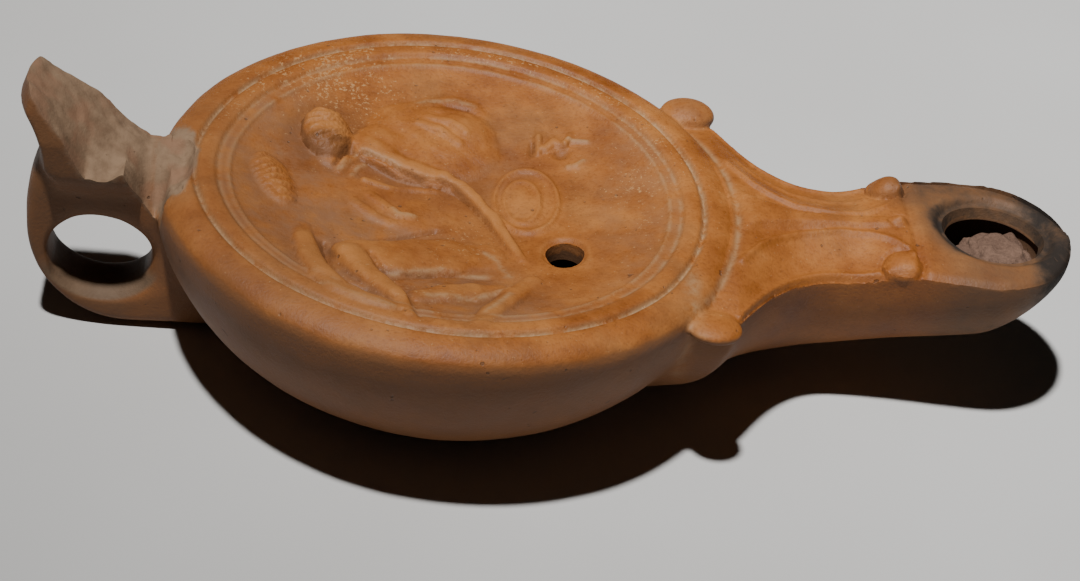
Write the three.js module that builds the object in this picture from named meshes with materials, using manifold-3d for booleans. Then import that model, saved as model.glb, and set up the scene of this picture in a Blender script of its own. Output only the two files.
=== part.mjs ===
// A clay oil lamp of the volute type, moulded and fired as one hollow piece: a round bowl under a sunken
// disc with a figure relief, a long nozzle with paired scrolls, and a ring handle under a broken ornament.
// Millimetres. +X runs out along the nozzle, +Z is up, the origin is the middle of the flat base.
import * as THREE from "three";
import { mergeVertices } from "three/addons/utils/BufferGeometryUtils.js";
import Module from "manifold-3d";

// Bowl and rim
const BODY_RADIUS = 42;
const RIM_HEIGHT = 27.9;
const SHOULDER_HEIGHT = 25;
const BOWL_DEPTH = 28;
const WALL = 3.2;
const FLOOR = 4;
const GROOVE_RADIUS = 36.65;
const GROOVE_HALF_WIDTH = 0.75;
const GROOVE_DEPTH = 0.8;
const INNER_GROOVE_RADIUS = 33.3;
const DISC_RADIUS = 31;
const DISC_EDGE_HEIGHT = 26.8;
const DISC_CENTRE_HEIGHT = 22.4;
const DISC_THICKNESS = 3;
const LATHE_SIDES = 44;
const BOWL_STEPS = 9;
const DISC_STEPS = 5;
const CHAMBER_SIDES = 32;
const CHAMBER_STEPS = 5;
const ROOF_STEPS = 4;
// the rounded shoulder: how far in from the widest line, and how far above it
const SHOULDER = [
  { inward: 0.4, above: 1.2 },
  { inward: 1.7, above: 2.2 },
  { inward: 3.6, above: 2.8 },
];
// the flat rim with its two grooves, stepping down a little toward the disc
const RIM = [
  { radius: GROOVE_RADIUS + GROOVE_HALF_WIDTH, below: 0 },
  { radius: GROOVE_RADIUS, below: GROOVE_DEPTH },
  { radius: GROOVE_RADIUS - GROOVE_HALF_WIDTH, below: 0 },
  { radius: INNER_GROOVE_RADIUS + GROOVE_HALF_WIDTH, below: 0.1 },
  { radius: INNER_GROOVE_RADIUS, below: GROOVE_DEPTH },
  { radius: INNER_GROOVE_RADIUS - GROOVE_HALF_WIDTH, below: 0.4 },
  { radius: DISC_RADIUS + GROOVE_HALF_WIDTH, below: 0.6 },
];

// Nozzle: half width, height of the crown line, of the side edges and of the underside, along X
const NOZZLE_START = 22;
const NOZZLE_TIP = 91.4;
const SHOULDER_KNOB = { x: 36.4, y: 24.9, z: 26.1, rx: 3.7, ry: 4.2, rz: 2.1 };
const SCROLL_KNOB = { x: 65, y: 9.6, z: 26.3, rx: 2.9, ry: 2.6, rz: 2.2 };
const KNOB_SIDES = 10;
const KNOB_RINGS = 6;
const NECK_X = 57;
const NECK_HALF_WIDTH = 10.9;
const FLARE_X = 37;
const FLARE_HALF_WIDTH = 23.3;
const FLARE_POWER = 1.9;
const ROOT_WIDENING = 0.04;
const FLANK_DRAW = 0.25;
const END_X = 78.5;
const END_HALF_WIDTH = 13.1;
const CROWN_HEIGHT = 26.8;
const NECK_EDGE_HEIGHT = 24.2;
const END_EDGE_HEIGHT = 26;
const START_UNDERSIDE = 0.3;
const END_UNDERSIDE = 11.7;
const UNDERSIDE_POWER = 1.15;
const TIP_UNDERSIDE = 23;
const TIP_POWER = 1.4;
const BELLY_POWER = { root: 2.9, end: 2.2 };
const LEAST_HALF_WIDTH = 0.4;
const LEAST_DEPTH = 1;
const NOZZLE_AROUND = 24;
const NOZZLE_ALONG = 16;
const CROWN_POWER = 1.5;
const RIM_CLEARANCE = { x: 0, rx: 40.5, ry: 40.5, top: 40, bottom: 22 };
const WICK_HOLE = { x: 79.8, rx: 8.2, ry: 9, top: 40, bottom: 21.5, sides: 24 };
const CHANNEL_WALL = 3.4;
const CHANNEL_AROUND = 16;
const CHANNEL_ALONG = 8;
const FILL_HOLE = { x: 16.4, y: -9.4, rx: 3.1, ry: 3.1, top: 40, bottom: 12, sides: 20 };

// Scroll mouldings on the nozzle: the middle strip, the outer edge roll and the inner edge roll, and the
// groove across the nozzle beyond them
const STRIP = { from: 43.5, to: 65, halfWidth: 2.1, endHalfWidth: 0.95, rise: 0.7, sunk: 2 };
const STRIP_KNOB = { x: 65.2, y: 0, z: 26.9, rx: 1.5, ry: 1.6, rz: 1 };
const CROSS_GROOVE = { x: 67.6, z: 27.2, radius: 0.9, length: 30 };
const ROLL_RADIUS = 0.8;
const ROLL_SUNK = 0.3;
const ROLL_SIDES = 6;
const ROLL_STEPS = 8;
const EDGE_ROLL = { from: 38.4, to: 63, parts: 4 };
const INNER_ROLL_START = { x: 41.6, y: 12.6 };
const INNER_ROLL_NECK = { x: 55, y: 2.7 };
const INNER_ROLL_END = { x: 64.2, y: 6.2 };

// Ring handle and the stump of its ornament, drawn in the XZ plane
const HANDLE_HALF_WIDTH = 4.2;
const HANDLE_ROUNDING = { across: 3.4, inPlane: 0.9 };
const RING_OUTER = { x: -44.8, z: 17.6, rx: 15, rz: 16.9 };
const FINGER_HOLE = { x: -49.2, z: 12.6, rx: 7.4, rz: 6.3, turn: -0.2 };
const HANDLE_FOOT = { x: -24, z: 1.2 };
const HANDLE_ROOT = { x: -38, z: 24 };
const STUMP_FOOT = { x: -55, z: 22 };
const STUMP_WAIST = { x: -58.2, z: 28.3 };
const STUMP_BACK = { x: -61, z: 37.3 };
const STUMP_TIP = { x: -59.8, z: 41.2 };
const STUMP_BREAK = { x: -52.5, z: 32.6 };
const STUMP_SHOULDER = { x: -40.5, z: 26.4 };
const STUMP_HALF_WIDTH = 8.4;
const STUMP_TIP_HALF_WIDTH = 3.8;
const STUMP_WIDEST_Z = 28;
const STUMP_ROUNDING = { across: 0.4, inPlane: 0.4 };
const STUMP_CURVE = 1.3;
const BREAK_SIDE_DROP = 0.12;
const BREAK_SAG = 1;
const PLATE_CURVE_STEPS = 9;
const PLATE_ROUND_STEPS = 2;
const SHOULDER_CHIP = { x: -41.6, y: 2.6, z: 28.6, rx: 3.4, ry: 6.2, rz: 2.2, sides: 12, rings: 8 };

// Relief on the disc: every limb is a tapered bar from one plan point to another, half sunk in the clay
const LIMB_SIDES = 7;
const LIMB_RINGS = 3;
const RELIEF = [
  // the figure that leans over, upper left: shoulder, then the long limb in its bends
  { from: [-12.5, 14], to: [-4, 11.5], radii: [3.2, 3.4], rise: 1.7 },
  { from: [-12, 10.2], to: [-1.6, 6.8], radii: [2.3, 2], rise: 2.2 },
  { from: [-1.6, 6.8], to: [5, 0], radii: [2, 1.8], rise: 2 },
  { from: [5, 0], to: [10.4, -10.6], radii: [1.8, 1], rise: 1.6 },
  // the figure that reclines, lower left: bent arm, raised knee and the leg beside it
  { from: [-21, -6.5], to: [-19.4, -17], radii: [2.2, 1.9], rise: 1.8 },
  { from: [-19.4, -17], to: [-16.4, -23], radii: [1.9, 1.8], rise: 1.7 },
  { from: [-16.4, -23], to: [-7, -27.2], radii: [1.8, 1.5], rise: 1.6 },
  { from: [-13.4, -12.2], to: [4, -12], radii: [3, 4.9], rise: 2.1 },
  { from: [-13.4, -13], to: [-5.6, -28.4], radii: [2.7, 1.8], rise: 1.9 },
  { from: [-4.4, -20.4], to: [10.4, -18.6], radii: [3.1, 1.6], rise: 1.6 },
  { from: [10.4, -18.6], to: [5.4, -28.6], radii: [1.7, 1.2], rise: 1.2 },
  // a spray of leaves at the upper right
  { from: [14, 13], to: [14.4, 18.6], radii: [0.9, 0.8], rise: 1.1 },
  { from: [16.8, 15], to: [20.8, 18.4], radii: [1.4, 0.8], rise: 1.1 },
  { from: [17, 14.6], to: [20.6, 12.2], radii: [1.2, 0.8], rise: 1 },
];
// round masses: two heads, the back of the one that leans, chest and belly of the one that reclines
const MASSES = [
  { x: -18.3, y: 13.6, rx: 3.9, ry: 5, rise: 2.7 },
  { x: -24.4, y: 1.4, rx: 4.1, ry: 5.2, rise: 2.5 },
  { x: -2.6, y: 17.4, rx: 9.4, ry: 6.2, rise: 2 },
  { x: -12.4, y: 0.4, rx: 6.4, ry: 5, rise: 1.5 },
  { x: -4, y: -3.4, rx: 5.6, ry: 4.4, rise: 1.4 },
];
const MASS_SIDES = 10;
const MASS_RINGS = 6;
const SHIELD = { x: 11, y: 4, rx: 5.4, ry: 7.4, rims: [1, 0.6], rise: 0.9, roll: 0.13, sides: 16 };
const MANTLE = { x: 0.4, y: 20.5, radius: 5.6, start: 0.1, end: 0.85, steps: 6, roll: 1, raised: 0.1 };

const FIRED_CLAY = { color: 0xb8713f, roughness: 0.62, metalness: 0 };

const QUARTER_TURN = Math.PI / 2;
const MERGE_DISTANCE = 1e-4;
const LEVEL_TOLERANCE = 1e-6;
const wasm = await Module();
wasm.setup();

/** A closed geometry as a solid: shared corners merged, triangles without area left out. */
function solid(geometry) {
  const bare = geometry.clone();
  bare.deleteAttribute("normal");
  bare.deleteAttribute("uv");
  const merged = mergeVertices(bare, MERGE_DISTANCE);
  const corners = merged.index.array;
  const kept = [];
  for (let i = 0; i < corners.length; i += 3) {
    const [a, b, c] = corners.slice(i, i + 3);
    if (a !== b && b !== c && c !== a) kept.push(a, b, c);
  }
  const vertProperties = new Float32Array(merged.attributes.position.array);
  const triVerts = new Uint32Array(kept);
  return new wasm.Manifold(new wasm.Mesh({ numProp: 3, vertProperties, triVerts }));
}

/** All the given solids as one. */
function fuse(solids) {
  return solids.reduce((whole, next) => whole.add(next));
}

/** A solid back as a geometry. */
function geometryOf(body) {
  const mesh = body.getMesh();
  const geometry = new THREE.BufferGeometry();
  geometry.setAttribute("position", new THREE.BufferAttribute(mesh.vertProperties, mesh.numProp));
  geometry.setIndex(new THREE.BufferAttribute(mesh.triVerts, 1));
  geometry.computeVertexNormals();
  return geometry;
}

/** A profile of [radius, height] pairs turned round the Z axis. */
function turned(profile, sides) {
  const points = profile.map(([radius, height]) => new THREE.Vector2(radius, height));
  return new THREE.LatheGeometry(points, sides).rotateX(QUARTER_TURN);
}

/** An ellipsoid at a place. */
function ellipsoid({ x, y, z, rx, ry, rz }, sides, rings) {
  const ball = new THREE.SphereGeometry(1, sides, rings).rotateX(QUARTER_TURN);
  return ball.scale(rx, ry, rz).translate(x, y, z);
}

/** An upright bar of elliptical plan. */
function uprightBar({ x, y = 0, rx, ry, top, bottom }, sides) {
  const bar = new THREE.CylinderGeometry(1, 1, top - bottom, sides).rotateX(QUARTER_TURN);
  return bar.scale(rx, ry, 1).translate(x, y, (top + bottom) / 2);
}

/** A closed tube along X, each point placed by section(share of the way along, up, across). */
function loft(section, around, along) {
  const tube = new THREE.CylinderGeometry(1, 1, 1, around, along);
  const places = tube.getAttribute("position");
  for (let i = 0; i < places.count; i++) {
    const up = places.getX(i);
    const across = places.getZ(i);
    const place = section(places.getY(i) + 0.5, up, across);
    places.setXYZ(i, place.x, place.y, place.z);
  }
  return tube;
}

/** A round bar bent along a list of points. */
function roll(points, radius, steps) {
  const section = new THREE.Shape();
  for (let i = 0; i < ROLL_SIDES; i++) {
    const angle = (i / ROLL_SIDES) * 2 * Math.PI;
    const [x, y] = [radius * Math.cos(angle), radius * Math.sin(angle)];
    if (i === 0) section.moveTo(x, y);
    else section.lineTo(x, y);
  }
  const extrudePath = new THREE.CatmullRomCurve3(points);
  return new THREE.ExtrudeGeometry(section, { steps, extrudePath, bevelEnabled: false });
}

/** Height of the sunken disc at a distance from its middle. */
function discHeight(radius) {
  const share = Math.min(radius / DISC_RADIUS, 1);
  return DISC_CENTRE_HEIGHT + (DISC_EDGE_HEIGHT - DISC_CENTRE_HEIGHT) * share ** 2;
}

/** Half of the bowl's elliptical profile between two heights, bottom first. */
function bowlProfile(bottom, top, inset, count) {
  const points = [];
  const depth = BOWL_DEPTH - inset;
  const first = Math.acos(Math.min((SHOULDER_HEIGHT - bottom) / depth, 1));
  const last = Math.acos(Math.max((SHOULDER_HEIGHT - top) / depth, 0));
  for (let i = 0; i <= count; i++) {
    const angle = first + ((last - first) * i) / count;
    points.push([(BODY_RADIUS - inset) * Math.sin(angle), SHOULDER_HEIGHT - depth * Math.cos(angle)]);
  }
  return points;
}

/** The disc's profile from its edge to its middle, lowered by an amount. */
function discProfile(lowered, count) {
  const points = [];
  for (let i = count; i >= 0; i--) {
    const radius = (DISC_RADIUS * i) / count;
    points.push([radius, discHeight(radius) - lowered]);
  }
  return points;
}

/** Bowl, rounded shoulder, grooved rim and sunken disc, turned as one profile. */
function bowl() {
  const outer = bowlProfile(0, SHOULDER_HEIGHT, 0, BOWL_STEPS);
  const shoulder = SHOULDER.map(({ inward, above }) => [BODY_RADIUS - inward, SHOULDER_HEIGHT + above]);
  const rim = RIM.map(({ radius, below }) => [radius, RIM_HEIGHT - below]);
  const disc = discProfile(0, DISC_STEPS);
  return solid(turned([[0, 0], ...outer, ...shoulder, ...rim, ...disc], LATHE_SIDES));
}

/** The hollow for the oil inside the bowl. */
function chamber() {
  const wall = bowlProfile(FLOOR, SHOULDER_HEIGHT - WALL, WALL, CHAMBER_STEPS);
  const roofEdge = [DISC_RADIUS + WALL, DISC_EDGE_HEIGHT - DISC_THICKNESS];
  const roof = discProfile(DISC_THICKNESS, ROOF_STEPS);
  return solid(turned([[0, FLOOR], ...wall, roofEdge, ...roof], CHAMBER_SIDES));
}

/** Half width of the nozzle's top at a place along X: flared at the bowl, waisted, round at the end. */
function nozzleHalfWidth(x) {
  if (x < FLARE_X) {
    const share = (FLARE_X - x) / (FLARE_X - NOZZLE_START);
    return FLARE_HALF_WIDTH * (1 + ROOT_WIDENING * share);
  }
  if (x < NECK_X) {
    const share = (NECK_X - x) / (NECK_X - FLARE_X);
    return NECK_HALF_WIDTH + (FLARE_HALF_WIDTH - NECK_HALF_WIDTH) * share ** FLARE_POWER;
  }
  if (x < END_X) {
    const share = THREE.MathUtils.smoothstep(x, NECK_X, END_X);
    return THREE.MathUtils.lerp(NECK_HALF_WIDTH, END_HALF_WIDTH, share);
  }
  const share = Math.min((x - END_X) / (NOZZLE_TIP - END_X), 1);
  return END_HALF_WIDTH * Math.sqrt(1 - share ** 2);
}

/** Height of the nozzle's side edge along X. */
function nozzleEdgeHeight(x) {
  const toEnd = THREE.MathUtils.smoothstep(x, NECK_X, CROSS_GROOVE.x);
  return THREE.MathUtils.lerp(NECK_EDGE_HEIGHT, END_EDGE_HEIGHT, toEnd);
}

/** Height of the nozzle's top at a place: crowned along the middle, falling to the side edges. */
function nozzleTop(x, y) {
  const share = Math.min(Math.abs(y) / Math.max(nozzleHalfWidth(x), LEAST_HALF_WIDTH), 1);
  return THREE.MathUtils.lerp(CROWN_HEIGHT, nozzleEdgeHeight(x), share ** CROWN_POWER);
}

/** Height of the nozzle's underside on its middle line. */
function nozzleUnderside(x) {
  const share = Math.min((x - NOZZLE_START) / (END_X - NOZZLE_START), 1);
  const level = THREE.MathUtils.lerp(START_UNDERSIDE, END_UNDERSIDE, share ** UNDERSIDE_POWER);
  const toTip = Math.max((x - END_X) / (NOZZLE_TIP - END_X), 0);
  return level + (TIP_UNDERSIDE - END_UNDERSIDE) * toTip ** TIP_POWER;
}

/** Radius of the bowl's outside at a height. */
function bowlRadius(z) {
  const share = THREE.MathUtils.clamp((SHOULDER_HEIGHT - z) / BOWL_DEPTH, 0, 1);
  return BODY_RADIUS * Math.sqrt(1 - share ** 2);
}

/** How far the nozzle's flank follows the bowl inward below the shoulder, fading out at the neck. */
function drawnIn(x, z) {
  const fading = 1 - THREE.MathUtils.smoothstep(x, FLARE_X, NECK_X);
  return FLANK_DRAW * (BODY_RADIUS - bowlRadius(z)) * fading;
}

/** The nozzle's outside, or its inside when taken in by a wall. */
function nozzleLoft(inset, tip, around, along) {
  return loft(
    (share, up, across) => {
      const x = NOZZLE_START + (tip - NOZZLE_START) * Math.sin(share * QUARTER_TURN);
      const halfWidth = Math.max(nozzleHalfWidth(x) - inset, LEAST_HALF_WIDTH);
      const edge = nozzleEdgeHeight(x) - inset;
      if (up > -LEVEL_TOLERANCE) {
        const crown = (CROWN_HEIGHT - nozzleEdgeHeight(x)) * (1 - Math.abs(across) ** CROWN_POWER);
        return { x, y: halfWidth * across, z: edge + crown };
      }
      const toEnd = THREE.MathUtils.smoothstep(x, FLARE_X, END_X);
      const belly = 2 / THREE.MathUtils.lerp(BELLY_POWER.root, BELLY_POWER.end, toEnd);
      const depth = Math.max(edge - nozzleUnderside(x) - inset, LEAST_DEPTH);
      const y = halfWidth * Math.sign(across) * Math.abs(across) ** belly;
      const z = edge - depth * Math.abs(up) ** belly;
      return { x: x - drawnIn(x, z), y, z };
    },
    around,
    along,
  );
}

/** A point on the nozzle's top, raised a little. */
function onNozzle(x, y, raised) {
  return new THREE.Vector3(x, y, nozzleTop(x, y) + raised);
}

/** Scroll knobs, edge rolls and middle strip on one side of the nozzle. */
function scrolls(side) {
  const shoulderKnob = { ...SHOULDER_KNOB, y: side * SHOULDER_KNOB.y };
  const scrollKnob = { ...SCROLL_KNOB, y: side * SCROLL_KNOB.y };
  const edge = [];
  for (let i = 0; i <= EDGE_ROLL.parts; i++) {
    const x = THREE.MathUtils.lerp(EDGE_ROLL.from, EDGE_ROLL.to, i / EDGE_ROLL.parts);
    edge.push(onNozzle(x, side * (nozzleHalfWidth(x) - ROLL_RADIUS), -ROLL_SUNK));
  }
  const turns = [INNER_ROLL_START, INNER_ROLL_NECK, INNER_ROLL_END];
  const inner = turns.map(({ x, y }) => onNozzle(x, side * y, -ROLL_SUNK));
  return fuse([
    solid(ellipsoid(shoulderKnob, KNOB_SIDES, KNOB_RINGS)),
    solid(ellipsoid(scrollKnob, KNOB_SIDES, KNOB_RINGS)),
    solid(roll(edge, ROLL_RADIUS, ROLL_STEPS)),
    solid(roll(inner, ROLL_RADIUS, ROLL_STEPS)),
  ]);
}

/** The raised strip down the middle of the nozzle, narrowing to the small knob at its outer end. */
function strip() {
  const plan = new THREE.Shape();
  plan.moveTo(STRIP.from, -STRIP.halfWidth);
  plan.lineTo(STRIP.to, -STRIP.endHalfWidth);
  plan.lineTo(STRIP.to, STRIP.endHalfWidth);
  plan.lineTo(STRIP.from, STRIP.halfWidth);
  const depth = STRIP.sunk + STRIP.rise;
  const bar = new THREE.ExtrudeGeometry(plan, { depth, bevelEnabled: false });
  bar.translate(0, 0, CROWN_HEIGHT - STRIP.sunk);
  return solid(bar).add(solid(ellipsoid(STRIP_KNOB, KNOB_SIDES, KNOB_RINGS)));
}

/** The round bar that takes out the groove across the nozzle. */
function crossGroove() {
  const { x, z, radius, length } = CROSS_GROOVE;
  const bar = new THREE.CylinderGeometry(radius, radius, length, KNOB_SIDES);
  return solid(bar.translate(x, 0, z));
}

/** A side outline in the XZ plane made a plate across Y, with rounded edges. */
function sidePlate(outline, halfWidth, rounding) {
  const depth = 2 * (halfWidth - rounding.across);
  const plate = new THREE.ExtrudeGeometry(outline, {
    depth,
    bevelThickness: rounding.across,
    bevelSize: rounding.inPlane,
    bevelOffset: -rounding.inPlane,
    bevelSegments: PLATE_ROUND_STEPS,
    curveSegments: PLATE_CURVE_STEPS,
  });
  return plate.translate(0, 0, -depth / 2).rotateX(QUARTER_TURN);
}

/** The ring handle with its finger hole, running in under the bowl. */
function ring() {
  const { x, z, rx, rz } = RING_OUTER;
  const bend = (STUMP_WAIST.z - z) / 2;
  const outline = new THREE.Shape();
  outline.moveTo(HANDLE_FOOT.x, HANDLE_FOOT.z);
  outline.lineTo(x, z - rz);
  outline.absellipse(x, z, rx, rz, -QUARTER_TURN, -2 * QUARTER_TURN, true);
  outline.bezierCurveTo(x - rx, z + bend, STUMP_WAIST.x, STUMP_WAIST.z - bend, STUMP_WAIST.x, STUMP_WAIST.z);
  outline.lineTo(STUMP_SHOULDER.x, STUMP_SHOULDER.z);
  outline.lineTo(HANDLE_ROOT.x, HANDLE_ROOT.z);
  const hole = new THREE.Path();
  const { turn } = FINGER_HOLE;
  hole.absellipse(FINGER_HOLE.x, FINGER_HOLE.z, FINGER_HOLE.rx, FINGER_HOLE.rz, 0, 2 * Math.PI, false, turn);
  outline.holes.push(hole);
  return solid(sidePlate(outline, HANDLE_HALF_WIDTH, HANDLE_ROUNDING));
}

/** Half width of the ornament's stump at a height: as slim as the ring below, spread under the break. */
function stumpHalfWidth(z) {
  const spread = THREE.MathUtils.smoothstep(z, STUMP_FOOT.z, STUMP_WIDEST_Z);
  const towardTip = THREE.MathUtils.clamp((z - STUMP_WIDEST_Z) / (STUMP_TIP.z - STUMP_WIDEST_Z), 0, 1);
  const below = HANDLE_HALF_WIDTH - HANDLE_ROUNDING.inPlane / 2;
  const above = THREE.MathUtils.lerp(STUMP_HALF_WIDTH, STUMP_TIP_HALF_WIDTH, towardTip);
  return THREE.MathUtils.lerp(below, above, spread);
}

/** The ornament's stump above the ring, broken off along a slope that rises to the back. */
function stump() {
  const outline = new THREE.Shape();
  const middle = (STUMP_BREAK.x + STUMP_SHOULDER.x) / 2;
  outline.moveTo(STUMP_FOOT.x, STUMP_FOOT.z);
  outline.lineTo(STUMP_WAIST.x, STUMP_WAIST.z);
  outline.quadraticCurveTo(STUMP_WAIST.x, (STUMP_WAIST.z + STUMP_BACK.z) / 2, STUMP_BACK.x, STUMP_BACK.z);
  outline.lineTo(STUMP_TIP.x, STUMP_TIP.z);
  outline.lineTo(STUMP_BREAK.x, STUMP_BREAK.z);
  outline.quadraticCurveTo(middle, STUMP_SHOULDER.z + BREAK_SAG, STUMP_SHOULDER.x, STUMP_SHOULDER.z);
  outline.lineTo(HANDLE_ROOT.x, STUMP_FOOT.z);
  const plate = sidePlate(outline, 1, STUMP_ROUNDING);
  const places = plate.getAttribute("position");
  for (let i = 0; i < places.count; i++) {
    const z = places.getZ(i);
    const across = places.getY(i);
    const y = across * stumpHalfWidth(z);
    const spread = THREE.MathUtils.smoothstep(z, STUMP_FOOT.z, STUMP_SHOULDER.z);
    const x = places.getX(i) + STUMP_CURVE * across ** 2 * spread;
    places.setXYZ(i, x, y, z + BREAK_SIDE_DROP * y * spread);
  }
  return solid(plate);
}

/** One limb of the relief: a bar with round ends that tapers between two plan points on the disc. */
function limb({ from, to, radii, rise }) {
  const start = new THREE.Vector2(...from);
  const end = new THREE.Vector2(...to);
  const run = end.clone().sub(start);
  const length = run.length();
  const profile = [];
  for (const [at, radius, first] of [[0, radii[0], 0], [length, radii[1], 1]]) {
    for (let i = 0; i <= LIMB_RINGS; i++) {
      const angle = -QUARTER_TURN * (1 - first) + (QUARTER_TURN * i) / LIMB_RINGS;
      profile.push(new THREE.Vector2(radius * Math.cos(angle), at + radius * Math.sin(angle)));
    }
  }
  profile[0].x = 0;
  profile[profile.length - 1].x = 0;
  const bar = new THREE.LatheGeometry(profile, LIMB_SIDES);
  bar.rotateZ(Math.atan2(run.y, run.x) - QUARTER_TURN);
  bar.scale(1, 1, rise / Math.max(...radii));
  const slope = discHeight(end.length()) - discHeight(start.length());
  const places = bar.getAttribute("position");
  for (let i = 0; i < places.count; i++) {
    const along = (places.getX(i) * run.x + places.getY(i) * run.y) / length ** 2;
    places.setZ(i, places.getZ(i) + discHeight(start.length()) + slope * along);
  }
  return solid(bar.translate(start.x, start.y, 0));
}

/** Figures, shield, mantle fold and leaf spray that stand out from the disc. */
function relief() {
  const limbs = RELIEF.map(limb);
  const masses = MASSES.map(({ x, y, rx, ry, rise }) => {
    const z = discHeight(Math.hypot(x, y));
    return solid(ellipsoid({ x, y, z, rx, ry, rz: rise }, MASS_SIDES, MASS_RINGS));
  });
  const ground = discHeight(Math.hypot(SHIELD.x, SHIELD.y));
  const rims = SHIELD.rims.map((share) => {
    const hoop = new THREE.TorusGeometry(1, SHIELD.roll / share, ROLL_SIDES, SHIELD.sides);
    hoop.scale(SHIELD.rx * share, SHIELD.ry * share, (SHIELD.rise * share) / SHIELD.roll);
    return solid(hoop.translate(SHIELD.x, SHIELD.y, ground));
  });
  const fold = [];
  for (let i = 0; i <= MANTLE.steps; i++) {
    const angle = Math.PI * THREE.MathUtils.lerp(MANTLE.start, MANTLE.end, i / MANTLE.steps);
    const x = MANTLE.x + MANTLE.radius * Math.cos(angle);
    const y = MANTLE.y + MANTLE.radius * Math.sin(angle);
    fold.push(new THREE.Vector3(x, y, discHeight(Math.hypot(x, y)) + MANTLE.raised));
  }
  return fuse([...limbs, ...masses, ...rims, solid(roll(fold, MANTLE.roll, ROLL_STEPS))]);
}

/** The nozzle with its mouldings, kept clear of the rim and cut by the groove across it. */
function nozzle() {
  const body = solid(nozzleLoft(0, NOZZLE_TIP, NOZZLE_AROUND, NOZZLE_ALONG));
  const clear = body.subtract(solid(uprightBar(RIM_CLEARANCE, LATHE_SIDES)));
  return fuse([clear.subtract(crossGroove()), scrolls(1), scrolls(-1), strip()]);
}

/** The whole lamp: the outside fused first, then the hollow, the two holes and the chip taken out. */
function lamp() {
  const outside = fuse([bowl(), nozzle(), ring(), stump(), relief()]);
  const hollow = fuse([
    chamber(),
    solid(nozzleLoft(CHANNEL_WALL, NOZZLE_TIP - CHANNEL_WALL, CHANNEL_AROUND, CHANNEL_ALONG)),
    solid(uprightBar(WICK_HOLE, WICK_HOLE.sides)),
    solid(uprightBar(FILL_HOLE, FILL_HOLE.sides)),
    solid(ellipsoid(SHOULDER_CHIP, SHOULDER_CHIP.sides, SHOULDER_CHIP.rings)),
  ]);
  return outside.subtract(hollow);
}

const clayLamp = new THREE.Mesh(geometryOf(lamp()), new THREE.MeshStandardMaterial(FIRED_CLAY));
clayLamp.name = "clay_lamp";

const part = new THREE.Group();
part.add(clayLamp);

export default part;
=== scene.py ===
"""A moulded Roman oil lamp of fired clay, dressed for rendering over its CAD frame.

Lengths are worked in millimetres in the lamp's own frame, +X towards the nozzle and +Z up, with the
origin under the middle of the flat base. Each finished mesh is scaled to metres once, at the end.
"""

from __future__ import annotations

import logging
import math
from collections.abc import Callable
from dataclasses import dataclass, field
from enum import Enum

import bmesh
import bpy
import numpy as np
from mathutils import Matrix, Vector

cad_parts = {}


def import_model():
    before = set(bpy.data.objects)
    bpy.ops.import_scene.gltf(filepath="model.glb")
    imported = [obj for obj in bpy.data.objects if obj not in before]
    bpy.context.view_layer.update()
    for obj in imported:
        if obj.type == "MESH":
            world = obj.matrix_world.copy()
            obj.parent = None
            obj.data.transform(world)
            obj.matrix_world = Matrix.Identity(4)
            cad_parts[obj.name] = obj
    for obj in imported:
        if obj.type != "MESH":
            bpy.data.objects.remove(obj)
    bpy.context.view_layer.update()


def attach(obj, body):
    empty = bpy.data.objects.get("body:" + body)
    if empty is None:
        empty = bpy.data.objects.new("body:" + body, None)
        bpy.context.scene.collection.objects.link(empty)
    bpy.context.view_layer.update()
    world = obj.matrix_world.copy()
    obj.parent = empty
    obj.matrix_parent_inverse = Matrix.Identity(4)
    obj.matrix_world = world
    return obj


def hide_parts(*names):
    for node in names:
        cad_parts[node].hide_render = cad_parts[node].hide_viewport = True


LOG = logging.getLogger("oil_lamp")
METRES = 0.001
CAD_NODE = "clay_lamp"
BODY = "root"
HASH_STEPS = np.array((374761393, 668265263, 1103515245), np.int64)
HASH_SEED_STEP = 977
HASH_SPREAD = 1274126177

Plan = tuple[tuple[float, float], ...]
Colour = tuple[float, float, float]
SolidColour = tuple[float, float, float, float]


class Layer(Enum):
    """Masks painted on the clay's vertices, which the finishes read by name."""

    # Soot round the wick and on the nozzle, with painted shade on the handle.
    SOOT_AND_SHADE = "soot"
    BREAK = "break"
    DUST = "dust"
    FADED = "faded"
    BLOOM = "bloom"
    # Painted shade with some brown patina: darker on the sides, the handle and the left of the top.
    WALL_PATINA_AND_SHADE = "wall"
    # Painted shade: near black on the inner faces of the chamber and the nozzle's channel.
    HOLLOW_SHADE = "hollow"
    # Painted highlight: brighter orange on the relief's raised crests.
    CREST_HIGHLIGHT = "crest"
    # Part grime, part painted shade: dark brown in the relief's hollows and under the leaning head.
    GRIME_AND_SHADE = "grime"
    HAIR = "hair"


class Cut(Enum):
    """What a tool solid does to the solid it meets."""

    TAKE_AWAY = "DIFFERENCE"
    KEEP_COMMON = "INTERSECT"


def smoothstep(value: np.ndarray | float, low: float, high: float) -> np.ndarray:
    """Ease from 0 at low to 1 at high."""
    share = np.clip((np.asarray(value, float) - low) / (high - low), 0.0, 1.0)
    return share * share * (3.0 - 2.0 * share)


def bell(value: np.ndarray, centre: float | np.ndarray, width: float | np.ndarray) -> np.ndarray:
    """A smooth hump of height 1 about a centre."""
    return np.exp(-(((value - centre) / width) ** 2))


def mix(low: np.ndarray | float, high: np.ndarray | float, share: np.ndarray | float) -> np.ndarray:
    """Go from low to high by a share."""
    return low + (high - low) * share


def soft_max(first: np.ndarray, second: np.ndarray, reach: float) -> np.ndarray:
    """Take the higher of two surfaces, with a fillet where they meet.

    Args:
        first: Heights of one surface.
        second: Heights of the other.
        reach: Height difference over which the two run into each other.

    Returns:
        The joined heights.
    """
    share = np.clip(0.5 + 0.5 * (first - second) / reach, 0.0, 1.0)
    return mix(second, first, share) + reach * share * (1.0 - share)


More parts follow.
